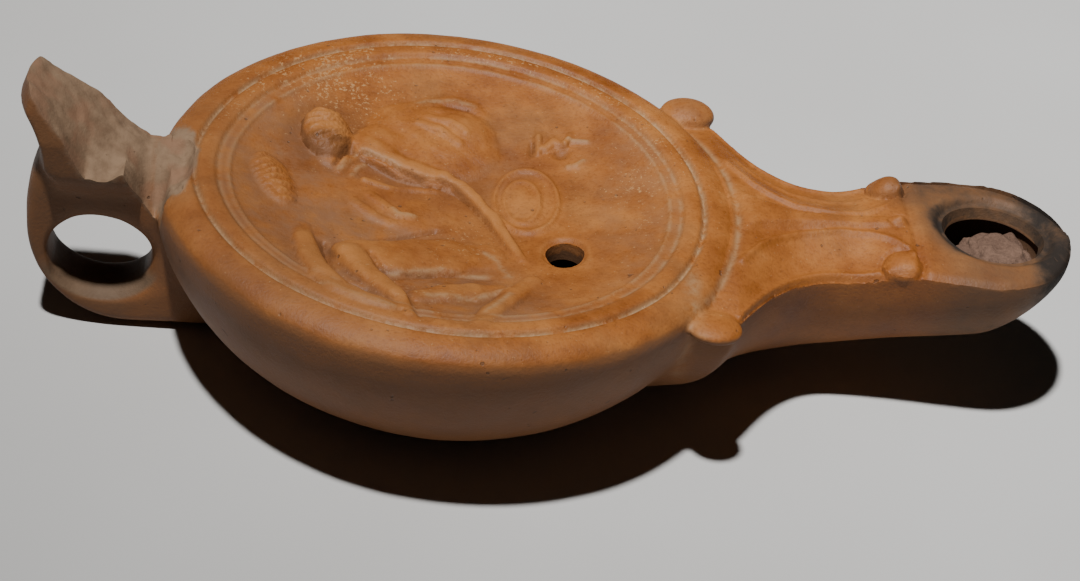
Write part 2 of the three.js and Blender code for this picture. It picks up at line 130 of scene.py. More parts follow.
def lattice_noise(points: np.ndarray, size: float, seed: int) -> np.ndarray:
    """Smooth value noise in space.

    Args:
        points: Rows of x, y, z.
        size: Distance between the lattice's points.
        seed: Picks one of many patterns.

    Returns:
        One value for each row, from -1 to 1.
    """
    scaled = points / size
    base = np.floor(scaled)
    part = scaled - base
    part = part * part * (3.0 - 2.0 * part)
    cell = base.astype(np.int64)
    total = np.zeros(len(points))
    for corner in np.ndindex(2, 2, 2):
        spot = cell + np.array(corner)
        code = spot @ HASH_STEPS + seed * HASH_SEED_STEP
        code = (code ^ (code >> 13)) * HASH_SPREAD & 0x7FFFFFFF
        code = (code ^ (code >> 16)) & 0xFFFF
        weight = np.prod(np.where(corner, part, 1.0 - part), axis=1)
        total += weight * (code / 32767.5 - 1.0)
    return total


def along_path(x: np.ndarray, y: np.ndarray, path: Plan) -> list[tuple[np.ndarray, np.ndarray]]:
    """Distance to each run of a path, and the place along that run.

    Args:
        x: Plan places.
        y: Plan places.
        path: Corners of the path.

    Returns:
        For each run, the distances and the shares of the run's length.
    """
    runs = []
    for (x0, y0), (x1, y1) in zip(path, path[1:]):
        dx, dy = x1 - x0, y1 - y0
        share = np.clip(((x - x0) * dx + (y - y0) * dy) / (dx * dx + dy * dy), 0.0, 1.0)
        runs.append((np.hypot(x - x0 - share * dx, y - y0 - share * dy), share))
    return runs


def path_distance(x: np.ndarray, y: np.ndarray, path: Plan) -> np.ndarray:
    """Distance to the nearest point of a path."""
    return np.min([distance for distance, _ in along_path(x, y, path)], axis=0)


@dataclass(frozen=True)
class Limb:
    """A rounded ridge of relief along a path, such as a limb or a fold of cloth."""

    path: Plan
    radii: tuple[float, ...]
    rises: tuple[float, ...]
    softness: float = 0.85
    fullness: float = 2.6

    def height(self, x: np.ndarray, y: np.ndarray) -> np.ndarray:
        """Height of the ridge above its ground.

        Args:
            x: Plan places.
            y: Plan places.

        Returns:
            Heights, 0 off the ridge.
        """
        heights = np.zeros_like(x)
        for i, (distance, share) in enumerate(along_path(x, y, self.path)):
            reach = distance / mix(self.radii[i], self.radii[i + 1], share)
            rise = mix(self.rises[i], self.rises[i + 1], share)
            swell = np.maximum(1.0 - reach**self.fullness, 0.0) ** self.softness
            heights = np.maximum(heights, rise * swell)
        return heights


@dataclass(frozen=True)
class Mound:
    """A rounded oval swelling of relief, or a hollow where its rise is negative."""

    x: float
    y: float
    rx: float
    ry: float
    turn: float
    rise: float
    softness: float = 1.2

    def spread(self, x: np.ndarray, y: np.ndarray) -> np.ndarray:
        """Squared distance from the middle, 1 on the oval's edge."""
        cos, sin = math.cos(self.turn), math.sin(self.turn)
        across = (x - self.x) * cos + (y - self.y) * sin
        along = (y - self.y) * cos - (x - self.x) * sin
        return (across / self.rx) ** 2 + (along / self.ry) ** 2

    def height(self, x: np.ndarray, y: np.ndarray) -> np.ndarray:
        """Height of the swelling above its ground."""
        return self.rise * np.maximum(1.0 - self.spread(x, y), 0.0) ** self.softness


@dataclass(frozen=True)
class Incision:
    """A narrow line pressed or cut into the clay."""

    path: Plan
    width: float
    depth: float

    def height(self, x: np.ndarray, y: np.ndarray) -> np.ndarray:
        """Depth of the line, as a negative height."""
        return -self.depth * bell(path_distance(x, y, self.path), 0.0, self.width)


@dataclass(frozen=True)
class Locks:
    """Combed hair on a head: fine furrows that fan out from its crown."""

    head: Mound
    crown: tuple[float, float]
    count: int
    depth: float

    def height(self, x: np.ndarray, y: np.ndarray) -> np.ndarray:
        """Furrows within the head's outline."""
        over = np.maximum(1.0 - self.head.spread(x, y), 0.0) ** 0.5
        across, along = x - self.crown[0], y - self.crown[1]
        bent = np.arctan2(along, across) + 0.02 * np.hypot(across, along)
        flat = np.stack([x, y, np.zeros_like(x)], axis=1)
        broken = 0.6 + 0.7 * lattice_noise(flat, 1.8, 33)
        waves = np.sin(bent * self.count + 1.2 * lattice_noise(flat, 2.4, 34))
        return self.depth * over * broken * waves


@dataclass(frozen=True)
class OvalRim:
    """A raised oval line with a low dome inside, such as a shield's edge."""

    x: float
    y: float
    rx: float
    ry: float
    width: float
    rise: float
    dome: float

    def height(self, x: np.ndarray, y: np.ndarray) -> np.ndarray:
        """Height of the line and of the dome."""
        reach = np.hypot((x - self.x) / self.rx, (y - self.y) / self.ry)
        line = self.rise * bell(reach * self.rx, self.rx, self.width)
        return line + self.dome * np.maximum(1.0 - reach**2, 0.0)


HEAD_LEANING = Mound(-18.0, 13.4, 3.9, 5.2, 0.1, 2.9, 0.5)
CHIN_LEANING = Mound(-17.0, 9.2, 2.6, 2.8, 0.35, 0.8, 0.9)
HEAD_RECLINING = Mound(-25.2, 0.5, 3.0, 6.3, 0.39, 1.3, 0.8)


@dataclass
class DiscRelief:
    """The low figured relief inside the rim: two draped figures, a shield and a spray of leaves."""

    crispness: float = 3.0
    wear: float = 0.16
    masses: tuple[Mound | Limb, ...] = (
        HEAD_LEANING,
        CHIN_LEANING,
        Mound(-2.4, 15.4, 10.4, 8.4, -0.25, 1.6, 0.75),
        Mound(-10.2, 13.2, 4.6, 4.4, -0.5, 1.5, 0.8),
        Mound(2.2, 18.0, 5.4, 4.6, -0.4, 1.7, 0.9),
        Limb(
            ((-13.2, 12.7), (-10.4, 10.9), (-7.0, 8.9), (-3.6, 7.8), (-0.6, 7.0)),
            (2.2, 2.3, 2.1, 1.9, 1.7),
            (1.3, 1.6, 1.7, 1.6, 1.4),
            0.7,
        ),
        Limb(
            (
                (-0.6, 7.0),
                (1.8, 5.6),
                (4.1, 2.9),
                (6.2, -0.9),
                (7.8, -4.9),
                (9.1, -8.6),
                (10.3, -11.4),
            ),
            (1.6, 1.4, 1.25, 1.15, 1.1, 1.0, 0.8),
            (1.4, 1.35, 1.25, 1.1, 0.95, 0.7, 0.3),
            0.8,
        ),
        HEAD_RECLINING,
        Limb(
            ((-20.0, 0.8), (-13.0, 1.2), (-6.0, -1.6), (-1.0, -4.4)),
            (4.5, 5.0, 5.0, 4.0),
            (0.4, 0.8, 0.8, 0.4),
            1.2,
        ),
        Limb(
            ((-13.0, -14.8), (-7.0, -13.8), (-0.8, -12.0), (4.6, -11.0)),
            (3.7, 4.6, 4.9, 3.6),
            (1.6, 1.6, 1.3, 0.6),
            0.6,
        ),
        Limb(
            ((-13.9, -15.8), (-11.8, -19.8), (-9.0, -23.4), (-6.9, -26.4), (-5.6, -31.0)),
            (2.4, 2.4, 2.1, 1.7, 1.2),
            (1.7, 1.7, 1.5, 1.3, 0.8),
            0.8,
        ),
        Limb(
            (
                (-20.8, -9.5),
                (-20.4, -13.0),
                (-19.2, -18.4),
                (-17.5, -22.8),
                (-15.1, -26.2),
                (-11.9, -28.2),
                (-8.7, -29.2),
                (-6.4, -29.2),
            ),
            (1.5, 1.8, 2.1, 2.1, 2.0, 1.8, 1.6, 1.3),
            (0.3, 0.9, 1.4, 1.6, 1.7, 1.7, 1.5, 1.0),
            0.8,
        ),
        Limb(
            ((-4.6, -24.7), (-0.9, -23.1), (3.2, -21.5), (6.8, -20.3)),
            (1.8, 2.4, 2.2, 1.5),
            (0.7, 1.1, 1.0, 0.5),
            0.8,
        ),
        Limb(
            ((11.4, -17.7), (8.4, -22.6), (5.3, -27.9), (3.4, -31.4)),
            (1.6, 1.9, 1.9, 1.5),
            (0.6, 1.0, 1.0, 0.6),
            0.8,
        ),
    )
    details: tuple[Mound | Limb | Incision | Locks | OvalRim, ...] = (
        Locks(HEAD_LEANING, (-11.5, 16.0), 36, 0.3),
        Locks(HEAD_RECLINING, (-36.0, -8.0), 58, 0.26),
        Limb(
            ((-6.1, 22.6), (-3.3, 24.0), (0.7, 24.8), (3.9, 24.0), (5.7, 21.4)),
            (0.9, 1.0, 1.1, 1.0, 0.8),
            (0.1, 0.25, 0.3, 0.3, 0.1),
        ),
        Limb(((-3.6, 21.6), (0.6, 22.3), (3.6, 21.2)), (0.8, 0.9, 0.8), (0.1, 0.25, 0.15)),
        Limb(((-4.5, 18.2), (-1.4, 16.9), (1.7, 14.2)), (0.8, 0.9, 0.8), (0.2, 0.45, 0.3)),
        Limb(((-3.2, 20.0), (0.2, 18.6), (2.6, 16.6)), (0.8, 0.8, 0.7), (0.2, 0.4, 0.25)),
        Limb(
            ((-12.1, 4.7), (-8.6, 4.1), (-5.2, 4.8), (-1.6, 4.9)),
            (0.8, 0.8, 0.7, 0.5),
            (0.5, 0.55, 0.5, 0.2),
        ),
        Limb(((-16.0, 6.2), (-14.6, 9.0), (-13.3, 10.2)), (0.9, 0.9, 0.7), (0.4, 0.5, 0.3)),
        Limb(((-14.2, 5.4), (-13.2, 7.8), (-12.4, 8.6)), (0.7, 0.7, 0.6), (0.3, 0.35, 0.2)),
        Limb(
            ((-11.2, 1.2), (-9.0, -0.9), (-7.3, -2.9), (-5.0, -3.0)),
            (0.9, 1.0, 0.9, 0.7),
            (0.25, 0.45, 0.5, 0.3),
        ),
        Limb(((-13.6, -1.0), (-10.8, -3.4), (-8.0, -4.8)), (0.9, 1.0, 0.8), (0.2, 0.3, 0.2)),
        Limb(((3.4, -24.1), (7.6, -21.0)), (0.7, 0.6), (0.4, 0.3)),
        OvalRim(11.4, 3.1, 4.6, 7.4, 0.42, 0.55, 0.55),
        OvalRim(10.7, 2.7, 2.6, 5.0, 0.36, 0.4, 0.32),
        Limb(((13.5, 18.0), (13.4, 14.6)), (0.7, 0.6), (0.5, 0.4)),
        Limb(((14.4, 15.4), (15.7, 16.8), (17.4, 16.0)), (0.8, 0.9, 0.7), (0.5, 0.6, 0.4)),
        Limb(((17.4, 16.2), (18.3, 18.4)), (0.6, 0.5), (0.4, 0.25)),
        Limb(((17.8, 17.0), (20.6, 16.6)), (0.6, 0.5), (0.4, 0.25)),
        Limb(((17.7, 11.2), (19.0, 11.4), (20.0, 12.4)), (0.6, 0.7, 0.5), (0.3, 0.4, 0.2)),
        Mound(16.9, 14.2, 1.6, 1.3, 0.3, -0.6, 1.0),
        Mound(12.5, 15.4, 0.6, 2.0, 0.0, -0.5, 1.0),
        Mound(-7.4, 6.0, 5.4, 1.9, -0.25, -0.35, 0.9),
        Incision(
            ((-12.6, 10.4), (-9.6, 9.1), (-6.9, 7.4), (-4.3, 6.4), (-1.3, 6.0), (0.6, 5.2)),
            0.26,
            0.45,
        ),
        Incision(((0.6, 5.2), (2.9, 2.4), (5.4, -2.4), (8.0, -9.0)), 0.34, 0.12),
        Incision(((-16.6, 7.3), (-14.4, 11.6)), 0.32, 0.5),
        Incision(((-15.6, -12.4), (-9.2, -8.7), (-5.2, -6.8), (-1.8, -5.4)), 0.4, 0.55),
        Incision(((-8.0, -19.6), (-1.2, -16.9), (5.6, -17.0)), 0.5, 0.35),
        Incision(((-11.2, -15.4), (-8.8, -19.8), (-6.0, -25.2), (-4.5, -31.6)), 0.42, 0.7),
        Incision(((-17.7, -12.6), (-16.3, -20.6), (-14.3, -23.6), (-11.6, -24.8)), 0.5, 0.7),
    )

    dust_and_highlight_lines: tuple[Plan, ...] = (
        ((-8.0, -18.6), (-1.2, -16.3), (5.6, -16.4)),
        ((5.0, -10.5), (7.0, -13.0), (8.2, -16.0)),
        ((-3.4, -24.9), (3.4, -24.1), (7.6, -21.0)),
        ((-8.4, -1.4), (-7.3, -2.9), (-5.0, -3.0)),
        ((-16.0, 6.2), (-14.6, 9.0), (-13.3, 10.2)),
        ((-14.2, 5.4), (-13.2, 7.8), (-12.4, 8.6)),
        ((-13.0, 10.8), (-9.6, 9.6), (-6.9, 8.0)),
        ((-6.1, 22.6), (-3.3, 24.0), (0.7, 24.8), (3.9, 24.0)),
        ((17.7, 11.2), (19.0, 11.4), (20.0, 12.4)),
        ((17.8, 17.0), (20.6, 16.6)),
        ((-15.2, -27.6), (-11.9, -29.6), (-7.6, -30.4)),
        ((4.4, -29.0), (8.0, -23.0)),
    )

    def pale(self, x: np.ndarray, y: np.ndarray) -> np.ndarray:
        """How far each plan place lies on an edge painted pale, with dust and a painted highlight.
        """
        return np.max([bell(path_distance(x, y, line), 0.0, 0.4) for line in self.dust_and_highlight_lines], axis=0)

    def height(self, x: np.ndarray, y: np.ndarray) -> np.ndarray:
        """Height of the relief above the plain dished disc.

        Args:
            x: Plan places.
            y: Plan places.

        Returns:
            Heights, 0 on the plain ground.
        """
        power = self.crispness
        total = np.sum([mass.height(x, y) ** power for mass in self.masses], axis=0)
        total = total ** (1.0 / power)
        flat = np.stack([x, y, np.zeros_like(x)], axis=1)
        worn = lattice_noise(flat, 2.6, 31) + 0.6 * lattice_noise(flat, 1.2, 32)
        total = total + self.wear * worn * smoothstep(total, 0.1, 0.9)
        total = total + np.sum([detail.height(x, y) for detail in self.details], axis=0)
        return total


def vertex_places(mesh: bpy.types.Mesh) -> np.ndarray:
    """Rows of x, y, z of a mesh's vertices."""
    places = np.empty(len(mesh.vertices) * 3, np.float32)
    mesh.vertices.foreach_get("co", places)
    return places.reshape(-1, 3).astype(float)


def vertex_normals(mesh: bpy.types.Mesh) -> np.ndarray:
    """Rows of the normals of a mesh's vertices."""
    normals = np.empty(len(mesh.vertices) * 3, np.float32)
    mesh.vertex_normals.foreach_get("vector", normals)
    return normals.reshape(-1, 3).astype(float)


def move_vertices(mesh: bpy.types.Mesh, places: np.ndarray) -> None:
    """Put a mesh's vertices in new places."""
    mesh.vertices.foreach_set("co", places.astype(np.float32).ravel())
    mesh.update()


class Neighbours:
    """The edges of a mesh, for averages over each vertex's neighbours."""

    def __init__(self, mesh: bpy.types.Mesh) -> None:
        """Read the edges of a mesh."""
        ends = np.empty(len(mesh.edges) * 2, np.int32)
        mesh.edges.foreach_get("vertices", ends)
        self.first, self.second = ends.reshape(-1, 2).T
        self.count = len(mesh.vertices)
        self.valence = np.maximum(self.total(np.ones(self.count)), 1.0)

    def total(self, values: np.ndarray) -> np.ndarray:
        """Sum of a value over each vertex's neighbours."""
        forward = np.bincount(self.first, values[self.second], self.count)
        return forward + np.bincount(self.second, values[self.first], self.count)

    def mean(self, values: np.ndarray) -> np.ndarray:
        """Mean of values, or of rows of values, over each vertex's neighbours."""
        if values.ndim == 1:
            return self.total(values) / self.valence
        return np.stack([self.mean(column) for column in values.T], axis=1)

    def smoothed(self, places: np.ndarray, rounds: int, amount: float | np.ndarray) -> np.ndarray:
        """Relax places towards their neighbours' mean.

        Args:
            places: Rows of x, y, z.
            rounds: Number of passes.
            amount: Share of the way in each pass, for all or for each vertex.

        Returns:
            The relaxed places.
        """
        share = np.broadcast_to(np.asarray(amount, float), (self.count,))[:, None]
        for _ in range(rounds):
            places = places + share * (self.mean(places) - places)
        return places


def new_object(name: str, mesh: bpy.types.Mesh) -> bpy.types.Object:
    """Link a mesh to the scene as an object at the origin."""
    made = bpy.data.objects.new(name, mesh)
    bpy.context.scene.collection.objects.link(made)
    return made


def object_from(name: str, bm: bmesh.types.BMesh) -> bpy.types.Object:
    """Turn a bmesh into an object.

    Args:
        name: Name of the object and its mesh.
        bm: The mesh to take over, which is freed.

    Returns:
        The new object.
    """
    bmesh.ops.recalc_face_normals(bm, faces=bm.faces[:])
    mesh = bpy.data.meshes.new(name)
    bm.to_mesh(mesh)
    bm.free()
    return new_object(name, mesh)


def bake(target: bpy.types.Object) -> None:
    """Apply an object's modifiers to its mesh."""
    graph = bpy.context.evaluated_depsgraph_get()
    old = target.data
    target.data = bpy.data.meshes.new_from_object(target.evaluated_get(graph))
    target.modifiers.clear()
    bpy.data.meshes.remove(old)


def carve(target: bpy.types.Object, tool: bpy.types.Object, cut: Cut) -> None:
    """Carve a solid with a tool solid, and throw the tool away.

    Args:
        target: The solid that is kept.
        tool: The solid that shapes it.
        cut: Whether the tool's room is taken away or is all that is kept.
    """
    step = target.modifiers.new("carve", "BOOLEAN")
    step.operation = cut.value
    step.solver = "MANIFOLD"
    step.object = tool
    bake(target)
    mesh = tool.data
    bpy.data.objects.remove(tool)
    bpy.data.meshes.remove(mesh)


def spin_profile(bm: bmesh.types.BMesh, profile: Plan, steps: int) -> None:
    """Spin a closed half profile about the upright axis.

    Args:
        bm: The mesh that takes the new faces.
        profile: Radius and height of each point, from axis to axis.
        steps: Number of sides.
    """
    points = [bm.verts.new((radius, 0.0, height)) for radius, height in profile]
    edges = [bm.edges.new(pair) for pair in zip(points, points[1:])]
    bmesh.ops.spin(
        bm,
        geom=points + edges,
        cent=(0.0, 0.0, 0.0),
        axis=(0.0, 0.0, 1.0),
        angle=math.tau,
        steps=steps,
        use_merge=True,
    )
    axis = [vert for vert in bm.verts if math.hypot(vert.co.x, vert.co.y) < 1e-4]
    bmesh.ops.remove_doubles(bm, verts=axis, dist=1e-3)


def tube(sides: int, cuts: int, capped: bool) -> bmesh.types.BMesh:
    """A unit tube along Z from 0 to 1, ready to be bent into a loft.

    Args:
        sides: Number of sides.
        cuts: Number of rings added between the ends.
        capped: Whether the ends are closed.

    Returns:
        The new mesh.
    """
    bm = bmesh.new()
    bmesh.ops.create_cone(bm, cap_ends=capped, segments=sides, radius1=1.0, radius2=1.0, depth=1.0)
    bmesh.ops.translate(bm, verts=bm.verts[:], vec=(0.0, 0.0, 0.5))
    long_edges = [edge for edge in bm.edges if abs(edge.verts[0].co.z - edge.verts[1].co.z) > 0.5]
    bmesh.ops.subdivide_edges(bm, edges=long_edges, cuts=cuts)
    return bm


def reshape(bm: bmesh.types.BMesh, rule: Callable[[np.ndarray], np.ndarray]) -> None:
    """Move all vertices of a mesh by a rule on their places.

    Args:
        bm: The mesh to move.
        rule: Takes rows of x, y, z and gives the new rows.
    """
    places = rule(np.array([vert.co for vert in bm.verts]))
    for vert, place in zip(bm.verts, places):
        vert.co = place


def append(bm: bmesh.types.BMesh, other: bmesh.types.BMesh) -> None:
    """Add a mesh's faces to another, and free it."""
    scratch = bpy.data.meshes.new("scratch")
    other.to_mesh(scratch)
    other.free()
    bm.from_mesh(scratch)
    bpy.data.meshes.remove(scratch)


def signed_power(value: np.ndarray, power: float | np.ndarray) -> np.ndarray:
    """A power that keeps the sign."""
    return np.sign(value) * np.abs(value) ** power


@dataclass(frozen=True)
class Lean:
    """The rise of the rim towards the near left, where the lamp's upper half sat askew."""

    rise: float = 1.8
    aim: tuple[float, float] = (-0.45, -0.89)
    reach: float = 38.0
    foot: float = 6.0
    head: float = 23.0
    shear: tuple[float, float] = (0.18, 1.32)

    def lift(self, x: np.ndarray, y: np.ndarray) -> np.ndarray:
        """Rise of the top at a plan place."""
        along = self.aim[0] * x + self.aim[1] * y
        return self.rise * smoothstep(along, 0.0, self.reach) * smoothstep(x, -45.0, -35.0)

    def raised(self, places: np.ndarray) -> np.ndarray:
        """Rows of x, y, z after the lean."""
        x, y, z = places.T
        return np.stack([x, y, z + self.lift(x, y) * smoothstep(z, self.foot, self.head)], axis=1)

    def levelled(self, places: np.ndarray) -> np.ndarray:
        """Rows of x, y, z before the lean."""
        x, y, z = places.T
        level = z
        for _ in range(8):
            level = z - self.lift(x, y) * smoothstep(level, self.foot, self.head)
        return np.stack([x, y, level], axis=1)


@dataclass
class Bowl:
    """The round oil chamber with its rolled shoulder, grooved rim and dished disc."""

    radius: float = 42.0
    shoulder: float = 25.0
    depth: float = 28.0
    rim: float = 27.9
    rim_crest: float = 37.4
    disc_radius: float = 31.0
    disc_edge: float = 26.8
    disc_centre: float = 22.4
    wall: float = 3.2
    floor: float = 4.0
    roof: float = 3.0
    chamber_top: float = 23.6
    chamber_turn: float = 1.4
    chamber_corner: float = 2.2
    groove: float = 36.65
    inner_groove: float = 33.3
    ridge: float = 31.7
    fill_x: float = 16.4
    fill_y: float = -9.8
    fill_rx: float = 2.75
    fill_ry: float = 3.35
    fill_taper: float = 0.84
    fill_span: tuple[float, float] = (12.0, 34.0)
    fill_flare: float = 20.5
    fill_flare_run: float = 3.0
    relief: DiscRelief = field(default_factory=DiscRelief)
    lean: Lean = Lean()

    def figures_at(self, x: np.ndarray, y: np.ndarray) -> tuple[np.ndarray, np.ndarray]:
        """Plan places in the relief's own drawing, which lies level."""
        lift = self.lean.lift(x, y)
        return x + self.lean.shear[0] * lift, y + self.lean.shear[1] * lift

    def side_radius(self, z: np.ndarray | float) -> np.ndarray:
        """Radius of the outer side at a height."""
        drop = np.clip((self.shoulder - np.asarray(z, float)) / self.depth, 0.0, 1.0)
        return self.radius * np.sqrt(1.0 - drop**2)

    def disc(self, r: np.ndarray | float) -> np.ndarray:
        """Height of the plain dished disc."""
        out = np.asarray(r) / self.disc_radius
        return self.disc_centre + (self.disc_edge - self.disc_centre) * out**2

    def roll(self, r: np.ndarray | float) -> np.ndarray:
        """Height of the rounded shoulder outside the rim's crest."""
        share = np.clip((np.asarray(r) - self.rim_crest) / (self.radius - self.rim_crest), 0.0, 1.0)
        return self.rim - (self.rim - self.shoulder) * (1.0 - np.sqrt(1.0 - share**2))

    def plain_top(self, r: np.ndarray | float) -> np.ndarray:
        """Height of the rim and disc without their fine lines."""
        climb = smoothstep(r, self.disc_radius, self.inner_groove + 1.0)
        inside = mix(self.disc(np.minimum(r, self.disc_radius)), self.rim, climb)
        return np.where(np.asarray(r) < self.rim_crest, inside, self.roll(r))

    def top(self, x: np.ndarray, y: np.ndarray) -> np.ndarray:
        """Height of the finished top, with its lines and relief.

        Args:
            x: Plan places.
            y: Plan places.

        Returns:
            Heights of the top.
        """
        r = np.hypot(x, y)
        figures = self.relief.height(*self.figures_at(x, y))
        figures = figures * mix(1.0, 0.5, smoothstep(r, 28.5, 33.5)) * smoothstep(-r, -35.8, -33.4)
        inner = 0.35 * bell(r, self.ridge, 0.42) - 0.35 * bell(r, self.inner_groove, 0.42)
        lines = inner * (1.0 - smoothstep(figures, 0.1, 0.5))
        lines = lines - 0.7 * bell(r, self.groove, 0.42) + 0.1 * bell(r, self.groove - 1.6, 0.9)
        hole = np.hypot((x - self.fill_x) / self.fill_rx, (y - self.fill_y) / self.fill_ry)
        lip = -0.5 * bell(hole, 1.0, 0.16)
        return self.plain_top(r) + lines + figures + lip

    def add_shell(self, bm: bmesh.types.BMesh) -> None:
        """Add the closed outer shell to a mesh."""
        base = math.acos(self.shoulder / self.depth)
        side = [
            (self.radius * math.sin(turn), self.shoulder - self.depth * math.cos(turn))
            for turn in np.linspace(base, math.pi / 2.0, 40)
        ]
        roll_radii = np.linspace(self.radius - 0.05, self.rim_crest, 14)
        crest = [(r, float(self.roll(r))) for r in roll_radii]
        dish_radii = np.linspace(self.rim_crest - 0.5, 0.0, 40)
        dish = [(r, float(self.plain_top(r))) for r in dish_radii]
        spin_profile(bm, ((0.0, 0.0), *side, *crest, *dish), 160)

    def chamber(self) -> bpy.types.Object:
        """The room for the oil, as a solid."""
        bm = bmesh.new()
        deep = self.shoulder - self.floor
        start = math.acos(min(deep / (self.depth - self.wall), 1.0))
        end = math.acos((self.shoulder - self.chamber_top + self.chamber_turn) / deep)
        wide = self.radius - self.wall
        side = [
            (wide * math.sin(turn), self.shoulder - (self.depth - self.wall) * math.cos(turn))
            for turn in np.linspace(start, end, 20)
        ]
        roof_radii = np.linspace(self.disc_radius, 0.0, 16)
        roof = [(r, float(self.disc(r)) - self.roof) for r in roof_radii]
        corner = (wide - self.chamber_corner, self.chamber_top)
        spin_profile(bm, ((0.0, self.floor), *side, corner, *roof), 96)
        return object_from("chamber", bm)

    def filling_hole(self) -> bpy.types.Object:
        """The slightly irregular hole for pouring oil in, as a solid."""
        bm = tube(40, 40, True)

        def shape(unit: np.ndarray) -> np.ndarray:
            around = np.arctan2(unit[:, 1], unit[:, 0])
            z = mix(*self.fill_span, unit[:, 2])
            flare = np.clip((z - self.fill_flare) / self.fill_flare_run, 0.0, 1.0)
            wobble = 1.0 + 0.025 * np.sin(3.0 * around + 0.6) + 0.012 * np.sin(5.0 * around)
            wobble = wobble * mix(self.fill_taper, 1.0, flare)
            x = self.fill_x + self.fill_rx * wobble * unit[:, 0]
            y = self.fill_y + self.fill_ry * wobble * unit[:, 1]
            return np.stack([x, y, z], axis=1)

        reshape(bm, shape)
        return object_from("filling_hole", bm)


@dataclass
class Nozzle:
    """The long nozzle with its fluted volutes, scroll knobs and rounded end."""

    bowl: Bowl
    start: float = 22.0
    tip: float = 91.4
    neck_x: float = 57.0
    neck_half: float = 11.3
    flare_x: float = 40.0
    flare_half: float = 24.4
    flare_power: float = 2.2
    root_widening: float = 0.04
    flank_draw: float = 0.65
    end_x: float = 78.5
    end_half: float = 13.1
    crown: float = 26.8
    root_rise: float = 0.6
    end_rise: float = 0.7
    root_edge: float = 24.9
    neck_edge: float = 24.2
    end_edge: float = 26.6
    start_under: float = 0.3
    end_under: float = 11.7
    under_power: float = 1.15
    tip_under: float = 23.0
    tip_power: float = 1.4
    belly_root: float = 2.4
    belly_end: float = 2.2
    crown_power: float = 1.5
    root_power: float = 3.0
    sunk: float = 7.0
    sunk_span: tuple[float, float] = (-40.8, -39.4)
    least_half: float = 0.4
    roof_share: float = 0.8
    channel_wall: float = 3.4
    channel_start: float = 28.0
    wick_x: float = 80.2
    wick_y: float = 0.8
    wick_rx: float = 8.3
    wick_ry: float = 7.6
    wick_floor: float = 21.5
    wick_top: float = 34.0
    wick_taper: float = 0.8
    wick_flare: float = 24.0
    wick_flare_run: float = 3.4
    cross_x: float = 67.6
    strip_start: float = 42.6
    strip_end: float = 65.0
    strip_edge: Plan = ((42.0, 4.8), (45.0, 2.9), (51.0, 1.35), (57.0, 1.1), (65.0, 0.95))
    seam: float = 41.6
    scroll: tuple[float, float, float] = (65.1, 9.4, 25.9)
    scroll_radii: tuple[float, float, float] = (3.0, 2.8, 2.0)
    near_button: float = 0.85
    far_button: float = 2.1
    lip_reach: float = 1.7
    lip_fall: float = 1.1
    bead: tuple[float, float] = (65.7, 0.3)
    near_lobe: tuple[float, float, float] = (36.3, -25.7, 24.9)
    near_lobe_radii: tuple[float, float, float] = (4.0, 3.5, 1.3)
    far_lobe: tuple[float, float, float] = (36.6, 26.2, 25.7)
    far_lobe_radii: tuple[float, float, float] = (4.2, 3.6, 2.0)
    volute: Plan = (
        (41.2, 12.2),
        (44.3, 7.9),
        (46.8, 5.8),
        (50.7, 3.6),
        (56.8, 2.3),
        (61.3, 2.6),
        (64.2, 4.0),
        (66.2, 6.2),
        (66.8, 7.8),
    )

    def half_width(self, x: np.ndarray) -> np.ndarray:
        """Half of the nozzle's width at a place along it."""
        root = self.flare_half * (1.0 + self.root_widening * (self.flare_x - x) / 15.0)
        closing = np.clip((self.neck_x - x) / (self.neck_x - self.flare_x), 0.0, 1.0)
        flare = self.neck_half + (self.flare_half - self.neck_half) * closing**self.flare_power
        swell = mix(self.neck_half, self.end_half, smoothstep(x, self.neck_x, self.end_x))
        past = np.clip((x - self.end_x) / (self.tip - self.end_x), 0.0, 1.0)
        end = self.end_half * np.sqrt(1.0 - past**2)
        neck = np.where(x < self.neck_x, flare, np.where(x < self.end_x, swell, end))
        return np.where(x < self.flare_x, root, neck)

    def edge_height(self, x: np.ndarray) -> np.ndarray:
        """Height of the top's edges at a place along it."""
        neck = mix(self.root_edge, self.neck_edge, smoothstep(x, self.flare_x, self.neck_x - 5.0))
        return mix(neck, self.end_edge, smoothstep(x, self.neck_x, self.cross_x))

    def crest(self, x: np.ndarray) -> np.ndarray:
        """Height of the plain top along its middle."""
        root = self.root_rise * smoothstep(-x, -self.neck_x + 5.0, -self.flare_x - 2.0)
        return self.crown + root + self.end_rise * smoothstep(x, self.neck_x + 2.0, self.cross_x)

    def arch(self, x: np.ndarray) -> np.ndarray:
        """Power of the top's curve from its middle to its edges."""
        along = smoothstep(x, self.flare_x, self.neck_x - 5.0)
        return mix(self.root_power, self.crown_power, along)

    def underside(self, x: np.ndarray) -> np.ndarray:
        """Height of the keel at a place along it."""
        run = np.clip((x - self.start) / (self.end_x - self.start), 0.0, 1.0)
        past = np.clip((x - self.end_x) / (self.tip - self.end_x), 0.0, 1.0)
        keel = mix(self.start_under, self.end_under, run**self.under_power)
        return keel + (self.tip_under - self.end_under) * past**self.tip_power

    def belly(self, x: np.ndarray) -> np.ndarray:
        """Power of the section's lower half at a place along it."""
        along = smoothstep(x, self.flare_x, self.end_x)
        return 2.0 / mix(self.belly_root, self.belly_end, along)

    def flank(self, x: np.ndarray, z: np.ndarray) -> np.ndarray:
        """Half width at a place along the nozzle and a height below its edge."""
        edge = self.edge_height(x)
        belly = self.belly(x)
        drop = np.clip((edge - z) / np.maximum(edge - self.underside(x), 1.0), 0.0, 1.0)
        return self.half_width(x) * (1.0 - drop ** (2.0 / belly)) ** (belly / 2.0)

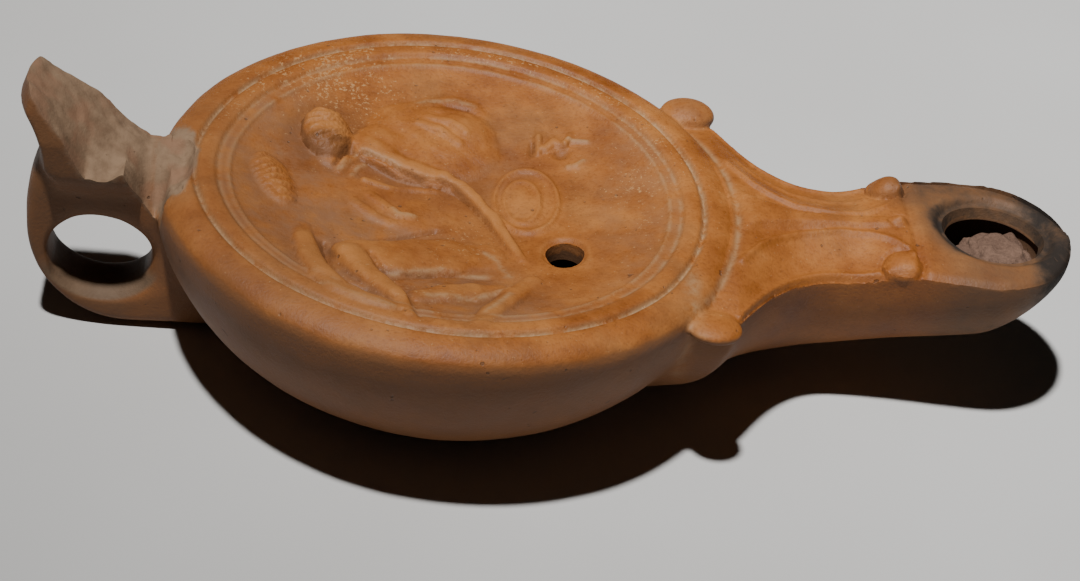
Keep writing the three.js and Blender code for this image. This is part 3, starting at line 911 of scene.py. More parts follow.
    def crown_height(self, x: np.ndarray, y: np.ndarray) -> np.ndarray:
        """Height of the plain crowned top."""
        out = np.clip(np.abs(y) / np.maximum(self.half_width(x), self.least_half), 0.0, 1.0)
        return mix(self.crest(x), self.edge_height(x), out ** self.arch(x))

    def wick_reach(self, x: np.ndarray, y: np.ndarray) -> np.ndarray:
        """Distance outside the wick hole's edge."""
        q = np.hypot((x - self.wick_x) / self.wick_rx, (y - self.wick_y) / self.wick_ry)
        return (q - 1.0) * 0.5 * (self.wick_rx + self.wick_ry)

    def top(self, x: np.ndarray, y: np.ndarray) -> np.ndarray:
        """Height of the finished top, with its strip, volutes, flutes and lip.

        Args:
            x: Plan places.
            y: Plan places.

        Returns:
            Heights of the top.
        """
        side = np.abs(y)
        half = self.half_width(x)
        run = smoothstep(x, self.strip_start - 1.2, self.strip_start + 1.2)
        run = run * smoothstep(-x, -self.strip_end - 0.6, -self.strip_end + 0.6)
        strip_half = np.interp(x, [p[0] for p in self.strip_edge], [p[1] for p in self.strip_edge])
        strip = 0.45 * run * smoothstep(strip_half - side, -0.4, 0.4)
        inner = np.interp(x, [p[0] for p in self.volute], [p[1] for p in self.volute])
        fluted = smoothstep(x, 40.5, 46.0) * smoothstep(-x, -63.5, -59.0)
        volute = 0.45 * bell(path_distance(x, side, self.volute), 0.0, 0.55)
        second = 0.3 * fluted * (y > 0.0) * bell(side, mix(inner, half, 0.5), 0.5)
        flute_half = 0.36 * np.maximum(half - inner, 1.0)
        flute = -0.5 * fluted * bell(side, 0.5 * (inner + half), flute_half)
        edge = 0.55 * bell(half - side, 1.0, 0.6)
        edge = edge * smoothstep(x, 37.0, 41.0) * smoothstep(-x, -64.5, -61.5)
        trough = -0.35 * fluted * smoothstep(inner - side, 0.3, 1.2)
        trough = trough * smoothstep(side - strip_half, 0.3, 1.0)
        cross = 0.12 * bell(x, self.cross_x + 1.4, 0.9) - 0.35 * bell(x, self.cross_x, 0.6)
        around = np.hypot(x - self.scroll[0], side - self.scroll[1])
        knob = np.where(y > 0.0, self.far_button, self.near_button)
        button = knob * np.maximum(1.0 - (around / self.scroll_radii[1]) ** 2, 0.0) ** 0.7
        button = button - 0.3 * bell(around, 3.05, 0.35)
        end_fall = -0.5 * smoothstep(x, self.end_x - 6.0, self.tip)
        end_fall = end_fall - 0.7 * bell(half - side, 0.0, 0.9)
        lip = np.clip(1.0 - self.wick_reach(x, y) / self.lip_reach, 0.0, 1.0)
        lip = -self.lip_fall * lip**2
        bead_gap = np.hypot(x - self.bead[0], y - self.bead[1])
        bead = 0.8 * bell(bead_gap, 0.0, 0.8) - 0.25 * bell(bead_gap, 1.5, 0.35)
        plain = self.crown_height(x, y)
        raised = np.maximum(strip, volute) + second + edge + button + bead
        return plain + raised + flute + trough + cross + end_fall + lip

    def loft(self, inset: float, begin: float, sides: int, cuts: int) -> bmesh.types.BMesh:
        """The nozzle's form, drawn in all round.

        Args:
            inset: How far the faces lie inside the outer ones.
            begin: Where the form starts along the nozzle.
            sides: Number of sides of a section.
            cuts: Number of sections between the ends.

        Returns:
            The closed form.
        """
        bm = tube(sides, cuts, True)

        def shape(unit: np.ndarray) -> np.ndarray:
            x = begin + (self.tip - inset - begin) * np.sin(unit[:, 2] * math.pi / 2.0)
            across, up = unit[:, 0], unit[:, 1]
            rounded = x + inset * smoothstep(x, self.end_x - inset, self.tip)
            half = np.maximum(self.half_width(rounded) - inset, self.least_half)
            edge = self.edge_height(x) - inset * self.roof_share
            depth = np.maximum(edge - self.underside(x) - inset, 1.0)
            belly = self.belly(x)
            low = up < -1e-4
            y = half * np.where(low, signed_power(across, belly), across)
            dip = self.sunk * smoothstep(-np.hypot(x, y), *self.sunk_span)
            rise = self.crest(x) - self.edge_height(x) - dip
            rise = rise * (1.0 - np.abs(across) ** self.arch(x))
            z = edge + np.where(low, -depth * np.abs(up) ** belly, rise)
            drawn = self.flank_draw * (self.bowl.radius - self.bowl.side_radius(z))
            drawn = drawn * (1.0 - smoothstep(x, self.flare_x, self.neck_x)) * low
            return np.stack([x - drawn, y, z], axis=1)

        reshape(bm, shape)
        return bm

    def add_shell(self, bm: bmesh.types.BMesh) -> None:
        """Add the closed outer form and the knobs to a mesh."""
        append(bm, self.loft(0.0, self.start, 96, 120))
        along, across, up = self.scroll
        knobs = (
            ((along, across, up), self.scroll_radii),
            ((along, -across, up), self.scroll_radii),
            (self.near_lobe, self.near_lobe_radii),
            (self.far_lobe, self.far_lobe_radii),
        )
        for place, radii in knobs:
            spot = Matrix.Translation(place) @ Matrix.Diagonal((*radii, 1.0))
            bmesh.ops.create_uvsphere(bm, u_segments=32, v_segments=20, radius=1.0, matrix=spot)

    def channel(self, inset: float) -> bpy.types.Object:
        """The way for the wick inside the nozzle, as a solid."""
        return object_from("channel", self.loft(inset, self.channel_start, 48, 48))

    def wick_hole(self) -> bpy.types.Object:
        """The hole for the wick, as a solid."""
        bm = tube(64, 24, True)

        def shape(unit: np.ndarray) -> np.ndarray:
            z = mix(self.wick_floor, self.wick_top, unit[:, 2])
            flare = np.clip((z - self.wick_flare) / self.wick_flare_run, 0.0, 1.0)
            spread = mix(self.wick_taper, 1.0, flare)
            x = self.wick_x + self.wick_rx * spread * unit[:, 0]
            y = self.wick_y + self.wick_ry * spread * unit[:, 1]
            return np.stack([x, y, z], axis=1)

        reshape(bm, shape)
        return object_from("wick_hole", bm)


@dataclass
class RingHandle:
    """The ring handle and the broken stump of the leaf that stood on it."""

    half: float = 4.2
    hole_x: float = -49.2
    hole_z: float = 12.6
    hole_rx: float = 7.4
    hole_rz: float = 6.3
    hole_turn: float = -0.2
    outer_x: float = -44.8
    outer_z: float = 17.6
    outer_rx: float = 15.0
    outer_rz: float = 16.9
    foot: tuple[float, float] = (-24.0, 1.2)
    ring_back: Plan = ((-59.95, 20.5), (-59.5, 24.0), (-58.8, 26.6), (-58.2, 28.3))
    ring_root: Plan = ((-40.5, 26.4), (-38.0, 24.0), (-24.0, 16.0))
    section_power: float = 0.42
    bevel: float = 1.1
    stump_widths: Plan = ((28.0, 6.8), (33.0, 6.9), (37.0, 6.0), (41.2, 4.6))
    stump_inset: float = 0.45
    stump_low: float = 22.0
    stump_wide: float = 28.0
    stump_curve: float = 1.3
    slab_low: float = 20.0
    slab_high: float = 46.0
    slab_right: float = -40.3
    near_break: Plan = (
        (-62.0, 41.4),
        (-59.4, 39.6),
        (-56.5, 36.0),
        (-54.2, 32.8),
        (-52.7, 29.9),
        (-51.4, 27.6),
        (-48.1, 27.5),
        (-46.1, 29.1),
        (-45.1, 27.0),
        (-43.3, 21.6),
        (-41.7, 19.4),
        (-40.6, 21.0),
        (-39.7, 25.2),
        (-36.0, 26.8),
    )
    far_break: Plan = (
        (-62.0, 42.2),
        (-59.5, 40.6),
        (-57.4, 39.0),
        (-54.7, 36.8),
        (-50.4, 32.8),
        (-46.8, 29.6),
        (-43.3, 27.8),
        (-40.2, 27.2),
        (-36.0, 27.0),
    )
    chip: Mound = Mound(-39.3, 0.0, 3.0, 8.6, 0.0, 1.0)

    def ring_outline(self) -> Plan:
        """Outline of the ring seen from the side, round from the foot."""
        turns = np.linspace(-math.pi / 2.0, -math.pi, 24)
        across = [self.outer_x + self.outer_rx * math.cos(turn) for turn in turns]
        up = [self.outer_z + self.outer_rz * math.sin(turn) for turn in turns]
        return (self.foot, *zip(across, up), *self.ring_back, *self.ring_root, self.foot)

    def ring_reach(self, turn: float) -> float:
        """Distance from the hole's middle to the outline in one direction."""
        aim = Vector((math.cos(turn), math.sin(turn)))
        outline = self.ring_outline()
        nearest = 100.0
        for (x0, z0), (x1, z1) in zip(outline, outline[1:]):
            run = Vector((x1 - x0, z1 - z0))
            start = Vector((x0 - self.hole_x, z0 - self.hole_z))
            cross = aim.x * run.y - aim.y * run.x
            if abs(cross) < 1e-9:
                continue
            distance = (start.x * run.y - start.y * run.x) / cross
            share = (start.x * aim.y - start.y * aim.x) / cross
            if distance > 0.0 and -1e-6 <= share <= 1.0 + 1e-6:
                nearest = min(nearest, distance)
        return nearest

    def hole_reach(self, turn: np.ndarray) -> np.ndarray:
        """Radius of the finger hole in a direction."""
        turned = turn - self.hole_turn
        return 1.0 / np.hypot(np.cos(turned) / self.hole_rx, np.sin(turned) / self.hole_rz)

    def ring(self) -> bmesh.types.BMesh:
        """The strap of the ring, swept round the finger hole."""
        bm = tube(40, 143, False)
        turns = np.linspace(-math.pi, math.pi, 289)
        reaches = np.array([self.ring_reach(turn) for turn in turns])

        def shape(unit: np.ndarray) -> np.ndarray:
            turn = (unit[:, 2] * 2.0 - 1.0) * math.pi
            near, far = self.hole_reach(turn), np.interp(turn, turns, reaches)
            middle, thick = 0.5 * (near + far), 0.5 * (far - near)
            out = signed_power(unit[:, 0], self.section_power)
            y = self.half * signed_power(unit[:, 1], self.section_power)
            low = smoothstep(-turn, 0.2, 0.7) * smoothstep(turn, -3.0, -2.5)
            bevel = self.bevel * low * smoothstep(-y, 0.3 * self.half, self.half)
            bevel = bevel * np.maximum(-out, 0.0)
            reach = middle + thick * out + bevel
            x, z = self.hole_x + reach * np.cos(turn), self.hole_z + reach * np.sin(turn)
            return np.stack([x, y, z], axis=1)

        reshape(bm, shape)
        bmesh.ops.remove_doubles(bm, verts=bm.verts[:], dist=1e-3)
        return bm

    def stump_half_width(self, z: np.ndarray) -> np.ndarray:
        """Half of the stump's width at a height."""
        wide = np.interp(z, *zip(*self.stump_widths))
        flare = smoothstep(z, self.stump_low, self.stump_wide)
        return mix(self.half - self.stump_inset, wide, flare)

    def stump_back(self, z: np.ndarray) -> np.ndarray:
        """Place of the stump's back at a height."""
        low = np.interp(z, [20.0, 22.0, 28.3], [-53.6, -55.0, -58.2])
        curve = -58.2 - 2.8 * np.clip((z - 28.3) / 9.0, 0.0, 1.0) ** 2
        return np.where(z < 28.3, low, curve + 0.31 * np.maximum(z - 37.3, 0.0))

    def slab(self) -> bmesh.types.BMesh:
        """The stump before it broke: a flaring slab that rises past the break."""
        bm = bmesh.new()
        bmesh.ops.create_grid(bm, x_segments=30, y_segments=52, size=1.0)
        sheet = bmesh.ops.extrude_face_region(bm, geom=bm.faces[:], use_keep_orig=True)
        lifted = [item for item in sheet["geom"] if isinstance(item, bmesh.types.BMVert)]
        bmesh.ops.translate(bm, verts=lifted, vec=(0.0, 0.0, 1.0))
        cross = [edge for edge in bm.edges if abs(edge.verts[0].co.z - edge.verts[1].co.z) > 0.5]
        bmesh.ops.subdivide_edges(bm, edges=cross, cuts=9)

        def shape(unit: np.ndarray) -> np.ndarray:
            height = mix(self.slab_low, self.slab_high, 0.5 * (unit[:, 1] + 1.0))
            across = 2.0 * unit[:, 2] - 1.0
            spread = smoothstep(height, self.stump_low, 26.4)
            x = mix(self.stump_back(height), self.slab_right, 0.5 * (unit[:, 0] + 1.0))
            x = x + self.stump_curve * across**2 * spread * 0.5 * (1.0 - unit[:, 0])
            return np.stack([x, across * self.stump_half_width(height), height], axis=1)

        reshape(bm, shape)
        return bm

    def break_height(self, x: np.ndarray, y: np.ndarray) -> np.ndarray:
        """Height of the rough break, high above the clay where nothing is lost.

        Args:
            x: Plan places.
            y: Plan places.

        Returns:
            Heights of the break's surface.
        """
        near = np.interp(x, [p[0] for p in self.near_break], [p[1] for p in self.near_break])
        far = np.interp(x, [p[0] for p in self.far_break], [p[1] for p in self.far_break])
        flat = np.stack([x, y, np.zeros_like(x)], axis=1)
        rough = 0.5 * lattice_noise(flat, 3.4, 3) + 0.28 * lattice_noise(flat, 1.3, 4)
        rough = rough + 0.12 * lattice_noise(flat, 0.6, 5)
        floor = mix(near, far, smoothstep(y, -7.5, 4.0)) + rough
        wobble = 0.22 * lattice_noise(flat, 2.6, 6) + 0.1 * lattice_noise(flat, 1.0, 7)
        reach = np.sqrt(self.chip.spread(x, y)) + wobble
        slope = 2.4 * smoothstep(reach, 0.35, 1.15) * smoothstep(x, -41.5, -39.5)
        spared = smoothstep(reach, 1.1, 1.3) * smoothstep(x, -40.3, -39.5)
        return floor + slope + 18.0 * spared

    def break_tool(self) -> bpy.types.Object:
        """The lost upper part, as a solid with the break on its lower side."""
        bm = bmesh.new()
        bmesh.ops.create_grid(bm, x_segments=90, y_segments=90, size=1.0)

        def shape(unit: np.ndarray) -> np.ndarray:
            x, y = mix(-66.0, -34.5, 0.5 * (unit[:, 0] + 1.0)), 15.0 * unit[:, 1]
            return np.stack([x, y, self.break_height(x, y)], axis=1)

        reshape(bm, shape)
        sheet = bmesh.ops.extrude_face_region(bm, geom=bm.faces[:], use_keep_orig=True)
        for item in sheet["geom"]:
            if isinstance(item, bmesh.types.BMVert):
                item.co.z = 70.0
        return object_from("lost_leaf", bm)

    def add_shell(self, bm: bmesh.types.BMesh) -> None:
        """Add the ring and the unbroken slab to a mesh."""
        append(bm, self.ring())
        append(bm, self.slab())


class NodeBench:
    """Short ways to lay out a shader's nodes."""

    def __init__(self, tree: bpy.types.NodeTree) -> None:
        """Work on one node tree."""
        self.tree = tree

    def add(self, kind: str, **settings: object) -> bpy.types.Node:
        """Add a node and set its properties."""
        node = self.tree.nodes.new(kind)
        for name, value in settings.items():
            setattr(node, name, value)
        return node

    def feed(self, socket: bpy.types.NodeSocket, value: object) -> None:
        """Link a socket, or set its value."""
        if isinstance(value, bpy.types.NodeSocket):
            self.tree.links.new(value, socket)
        else:
            socket.default_value = value

    def math(
        self, operation: str, first: object, second: object, clamp: bool = False, third: float = 0.0
    ) -> bpy.types.NodeSocket:
        """Combine two values, or three where the operation takes them."""
        node = self.add("ShaderNodeMath", operation=operation, use_clamp=clamp)
        self.feed(node.inputs[0], first)
        self.feed(node.inputs[1], second)
        node.inputs[2].default_value = third
        return node.outputs[0]

    def band(self, value: object, low: float, high: float) -> bpy.types.NodeSocket:
        """Ease from 0 at low to 1 at high."""
        node = self.add("ShaderNodeMapRange", interpolation_type="SMOOTHSTEP")
        self.feed(node.inputs["Value"], value)
        node.inputs["From Min"].default_value = low
        node.inputs["From Max"].default_value = high
        return node.outputs["Result"]

    def blend(
        self, share: object, first: object, second: object, way: str = "MIX"
    ) -> bpy.types.NodeSocket:
        """Mix two colours by a share."""
        node = self.add("ShaderNodeMix", data_type="RGBA", blend_type=way)
        self.feed(node.inputs[0], share)
        self.feed(node.inputs[6], first)
        self.feed(node.inputs[7], second)
        return node.outputs[2]

    def noise(
        self, place: object, size: float, detail: float, rough: float = 0.5
    ) -> bpy.types.NodeSocket:
        """Fractal noise whose largest grain has a size in millimetres."""
        node = self.add("ShaderNodeTexNoise", noise_dimensions="3D")
        self.feed(node.inputs["Vector"], place)
        node.inputs["Scale"].default_value = 1.0 / (size * METRES)
        node.inputs["Detail"].default_value = detail
        node.inputs["Roughness"].default_value = rough
        return node.outputs["Fac"]

    def layer(self, layer: Layer) -> bpy.types.NodeSocket:
        """Read one of the painted masks."""
        node = self.add("ShaderNodeAttribute", attribute_type="GEOMETRY")
        node.attribute_name = layer.value
        return node.outputs["Fac"]

    def ramp(self, value: object, stops: tuple[tuple[float, Colour], ...]) -> bpy.types.NodeSocket:
        """Turn a value into a colour by a row of stops."""
        node = self.add("ShaderNodeValToRGB")
        elements = node.color_ramp.elements
        while len(elements) < len(stops):
            elements.new(0.5)
        for element, (place, colour) in zip(elements, stops):
            element.position = place
            element.color = (*colour, 1.0)
        self.feed(node.inputs["Fac"], value)
        return node.outputs["Color"]


class Grain:
    """A node group shared by the earthy finishes: clouds, flecks and pits by place."""

    NAME = "earth_grain"
    OUTPUTS = ("Cloud", "Fleck", "Pit", "Tooth")

    @classmethod
    def group(cls) -> bpy.types.NodeTree:
        """Find the group, or make it.

        Returns:
            The node group, whose outputs are masks from 0 to 1.
        """
        if cls.NAME in bpy.data.node_groups:
            return bpy.data.node_groups[cls.NAME]
        tree = bpy.data.node_groups.new(cls.NAME, "ShaderNodeTree")
        tree.interface.new_socket("Place", in_out="INPUT", socket_type="NodeSocketVector")
        for name in cls.OUTPUTS:
            tree.interface.new_socket(name, in_out="OUTPUT", socket_type="NodeSocketFloat")
        bench = NodeBench(tree)
        place = bench.add("NodeGroupInput").outputs["Place"]
        result = bench.add("NodeGroupOutput")
        cloud = bench.noise(place, 9.0, 5.0, 0.6)
        fleck = bench.noise(place, 0.55, 4.0, 0.75)
        pit = bench.band(bench.noise(place, 1.2, 1.0, 0.5), 0.74, 0.8)
        tooth = bench.noise(place, 0.5, 4.0, 0.65)
        for name, value in zip(cls.OUTPUTS, (cloud, fleck, pit, tooth)):
            bench.feed(result.inputs[name], value)
        return tree

    @classmethod
    def place(cls, bench: NodeBench) -> bpy.types.Node:
        """Put the group in a material, read at Object coordinates."""
        node = bench.add("ShaderNodeGroup")
        node.node_tree = cls.group()
        bench.feed(node.inputs["Place"], bench.add("ShaderNodeTexCoord").outputs["Object"])
        return node


@dataclass(frozen=True)
class FiredClay:
    """Orange slip over fired clay, with wear, dust, soot and a bare break, and with painted shade
    and a painted highlight.
    """

    deep: Colour = (0.178, 0.052, 0.0095)
    middle: Colour = (0.262, 0.088, 0.018)
    light: Colour = (0.325, 0.124, 0.031)
    stain: SolidColour = (0.125, 0.046, 0.014, 1.0)
    faded: SolidColour = (0.200, 0.092, 0.044, 1.0)
    bloom: SolidColour = (0.370, 0.200, 0.085, 1.0)
    # Brighter orange for the painted highlight on raised crests.
    crest: SolidColour = (0.330, 0.135, 0.038, 1.0)
    # Dark brown for grime and painted shade in the relief's hollows and under the leaning head.
    grime: SolidColour = (0.075, 0.029, 0.011, 1.0)
    # Darker brown for painted shade on the sides, the handle and the left of the top, with some
    # patina.
    wall: SolidColour = (0.158, 0.069, 0.029, 1.0)
    dust: SolidColour = (0.300, 0.190, 0.100, 1.0)
    break_dark: Colour = (0.132, 0.080, 0.046)
    break_light: Colour = (0.205, 0.132, 0.080)
    break_pink: SolidColour = (0.196, 0.110, 0.064, 1.0)
    # Sooty brown for the nozzle's soot and for painted shade on the handle.
    smoke_and_shade: SolidColour = (0.075, 0.050, 0.031, 1.0)
    soot: SolidColour = (0.018, 0.013, 0.010, 1.0)
    # Near black for painted shade inside the lamp and in the small pits.
    hollow: SolidColour = (0.050, 0.030, 0.019, 1.0)
    tooth_shade: Colour = (0.55, 0.5, 0.46)
    tooth_clear: Colour = (1.0, 1.0, 1.0)
    tooth_share: float = 0.55
    gloss_least: float = 0.40
    gloss_spread: float = 0.3
    dull_roughness: float = 0.85
    sheen: float = 0.22
    bump_strength: float = 0.75
    bump_depth: float = 0.10
    curl_size: float = 0.75
    curl_depth: float = 2.2

    def material(self) -> bpy.types.Material:
        """Make the material.

        Returns:
            The finished clay.
        """
        made = bpy.data.materials.new("fired_clay_slip")
        made.use_nodes = True
        bench = NodeBench(made.node_tree)
        shader = made.node_tree.nodes["Principled BSDF"]
        grain = Grain.place(bench)
        cloud, fleck, pit, tooth = (grain.outputs[name] for name in Grain.OUTPUTS)
        place = bench.add("ShaderNodeTexCoord").outputs["Object"]
        patch = bench.noise(place, 4.0, 5.0, 0.7)

        colour = bench.ramp(cloud, ((0.32, self.deep), (0.5, self.middle), (0.66, self.light)))
        teeth = bench.ramp(tooth, ((0.3, self.tooth_shade), (0.5, self.tooth_clear)))
        colour = bench.blend(self.tooth_share, colour, teeth, "MULTIPLY")
        stained = bench.band(bench.noise(place, 17.0, 5.0, 0.65), 0.5, 0.68)
        stained = bench.math("MULTIPLY", stained, 0.5)
        colour = bench.blend(stained, colour, self.stain)
        worn = bench.math("MULTIPLY", bench.layer(Layer.FADED), bench.band(patch, 0.25, 0.75))
        colour = bench.blend(worn, colour, self.faded)
        # Painted highlight on the relief's raised crests.
        colour = bench.blend(bench.layer(Layer.CREST_HIGHLIGHT), colour, self.crest)
        # Grime and painted shade in the relief's hollows and under the leaning head.
        colour = bench.blend(bench.layer(Layer.GRIME_AND_SHADE), colour, self.grime)
        bloom = bench.math("MULTIPLY", bench.layer(Layer.BLOOM), bench.band(patch, 0.4, 0.56))
        speck = bench.math("ADD", fleck, bench.math("MULTIPLY", bloom, 0.14))
        flecks = bench.math("MULTIPLY", bench.band(speck, 0.64, 0.72), 0.85)
        colour = bench.blend(flecks, colour, self.bloom)
        dust = bench.math("MULTIPLY", bench.layer(Layer.DUST), bench.band(patch, 0.34, 0.6))
        colour = bench.blend(dust, colour, self.dust)
        uneven = bench.math("MULTIPLY_ADD", patch, 0.7, third=0.5)
        # Painted shade with some patina: this darkens steep sides, the left of the top and the
        # handle.
        wall = bench.math("MULTIPLY", bench.layer(Layer.WALL_PATINA_AND_SHADE), uneven, True)
        colour = bench.blend(wall, colour, self.wall)
        crumbly = bench.noise(place, 3.2, 5.0, 0.62)
        bare = bench.ramp(crumbly, ((0.3, self.break_dark), (0.58, self.break_light)))
        pink = bench.band(bench.noise(place, 5.5, 3.0, 0.5), 0.5, 0.66)
        bare = bench.blend(pink, bare, self.break_pink)
        colour = bench.blend(bench.layer(Layer.BREAK), colour, bare)
        patchy = bench.math("MULTIPLY_ADD", patch, 0.8, third=0.62)
        # Soot by the wick and on the nozzle, and painted shade on the handle's sides.
        smoke_and_shade = bench.math("MULTIPLY", bench.layer(Layer.SOOT_AND_SHADE), patchy, True)
        colour = bench.blend(smoke_and_shade, colour, self.smoke_and_shade)
        colour = bench.blend(bench.band(smoke_and_shade, 0.62, 1.0), colour, self.soot)
        # Painted shade: near black inside the lamp and in the small pits.
        colour = bench.blend(bench.layer(Layer.HOLLOW_SHADE), colour, self.hollow)
        colour = bench.blend(bench.math("MULTIPLY", pit, 0.55), colour, self.hollow)
        bench.feed(shader.inputs["Base Color"], colour)

        dull = bench.math("MAXIMUM", bench.layer(Layer.BREAK), bench.math("MAXIMUM", dust, smoke_and_shade))
        gloss = bench.math("MULTIPLY_ADD", cloud, self.gloss_spread, third=self.gloss_least)
        rough = bench.math("MAXIMUM", gloss, bench.math("MULTIPLY", dull, self.dull_roughness))
        bench.feed(shader.inputs["Roughness"], rough)
        shader.inputs["Specular IOR Level"].default_value = self.sheen

        height = bench.math("SUBTRACT", tooth, bench.math("MULTIPLY", pit, 1.2))
        height = bench.math("ADD", height, bench.math("MULTIPLY", patch, 0.8))
        curl = bench.add("ShaderNodeTexVoronoi", feature="F1")
        bench.feed(curl.inputs["Vector"], place)
        curl.inputs["Scale"].default_value = 1.0 / (self.curl_size * METRES)
        curls = bench.math("MULTIPLY", curl.outputs["Distance"], bench.layer(Layer.HAIR))
        height = bench.math("SUBTRACT", height, bench.math("MULTIPLY", curls, self.curl_depth))
        bump = bench.add("ShaderNodeBump")
        bump.inputs["Strength"].default_value = self.bump_strength
        bump.inputs["Distance"].default_value = self.bump_depth * METRES
        bench.feed(bump.inputs["Height"], height)
        bench.feed(shader.inputs["Normal"], bump.outputs["Normal"])
        return made


@dataclass(frozen=True)
class CakedEarth:
    """Reddish granular earth caked in the nozzle."""

    dark: Colour = (0.056, 0.031, 0.021)
    light: Colour = (0.165, 0.098, 0.068)
    roughness: float = 0.92
    sheen: float = 0.2
    bump_strength: float = 0.9
    bump_depth: float = 0.35

    def material(self) -> bpy.types.Material:
        """Make the material.

        Returns:
            The finished earth.
        """
        made = bpy.data.materials.new("caked_earth")
        made.use_nodes = True
        bench = NodeBench(made.node_tree)
        shader = made.node_tree.nodes["Principled BSDF"]
        grain = Grain.place(bench)
        teeth = bench.math("MULTIPLY", grain.outputs["Tooth"], 0.6)
        mottle = bench.math("MULTIPLY", bench.math("ADD", grain.outputs["Cloud"], teeth), 0.625)
        colour = bench.ramp(mottle, ((0.35, self.dark), (0.62, self.light)))
        bench.feed(shader.inputs["Base Color"], colour)
        shader.inputs["Roughness"].default_value = self.roughness
        shader.inputs["Specular IOR Level"].default_value = self.sheen
        bump = bench.add("ShaderNodeBump")
        bump.inputs["Strength"].default_value = self.bump_strength
        bump.inputs["Distance"].default_value = self.bump_depth * METRES
        bench.feed(bump.inputs["Height"], grain.outputs["Tooth"])
        bench.feed(shader.inputs["Normal"], bump.outputs["Normal"])
        return made


@dataclass(frozen=True)
class PaleFloor:
    """A pale matt table top."""

    light: Colour = (0.470, 0.464, 0.452)
    dark: Colour = (0.450, 0.442, 0.428)
    roughness: float = 0.75
    sheen: float = 0.2

    def material(self) -> bpy.types.Material:
        """Make the material.

        Returns:
            The finished floor.
        """
        made = bpy.data.materials.new("pale_floor")
        made.use_nodes = True
        bench = NodeBench(made.node_tree)
        shader = made.node_tree.nodes["Principled BSDF"]
        place = bench.add("ShaderNodeTexCoord").outputs["Object"]
        colour = bench.ramp(bench.noise(place, 60.0, 2.0), ((0.35, self.dark), (0.65, self.light)))
        bench.feed(shader.inputs["Base Color"], colour)
        shader.inputs["Roughness"].default_value = self.roughness
        shader.inputs["Specular IOR Level"].default_value = self.sheen
        return made


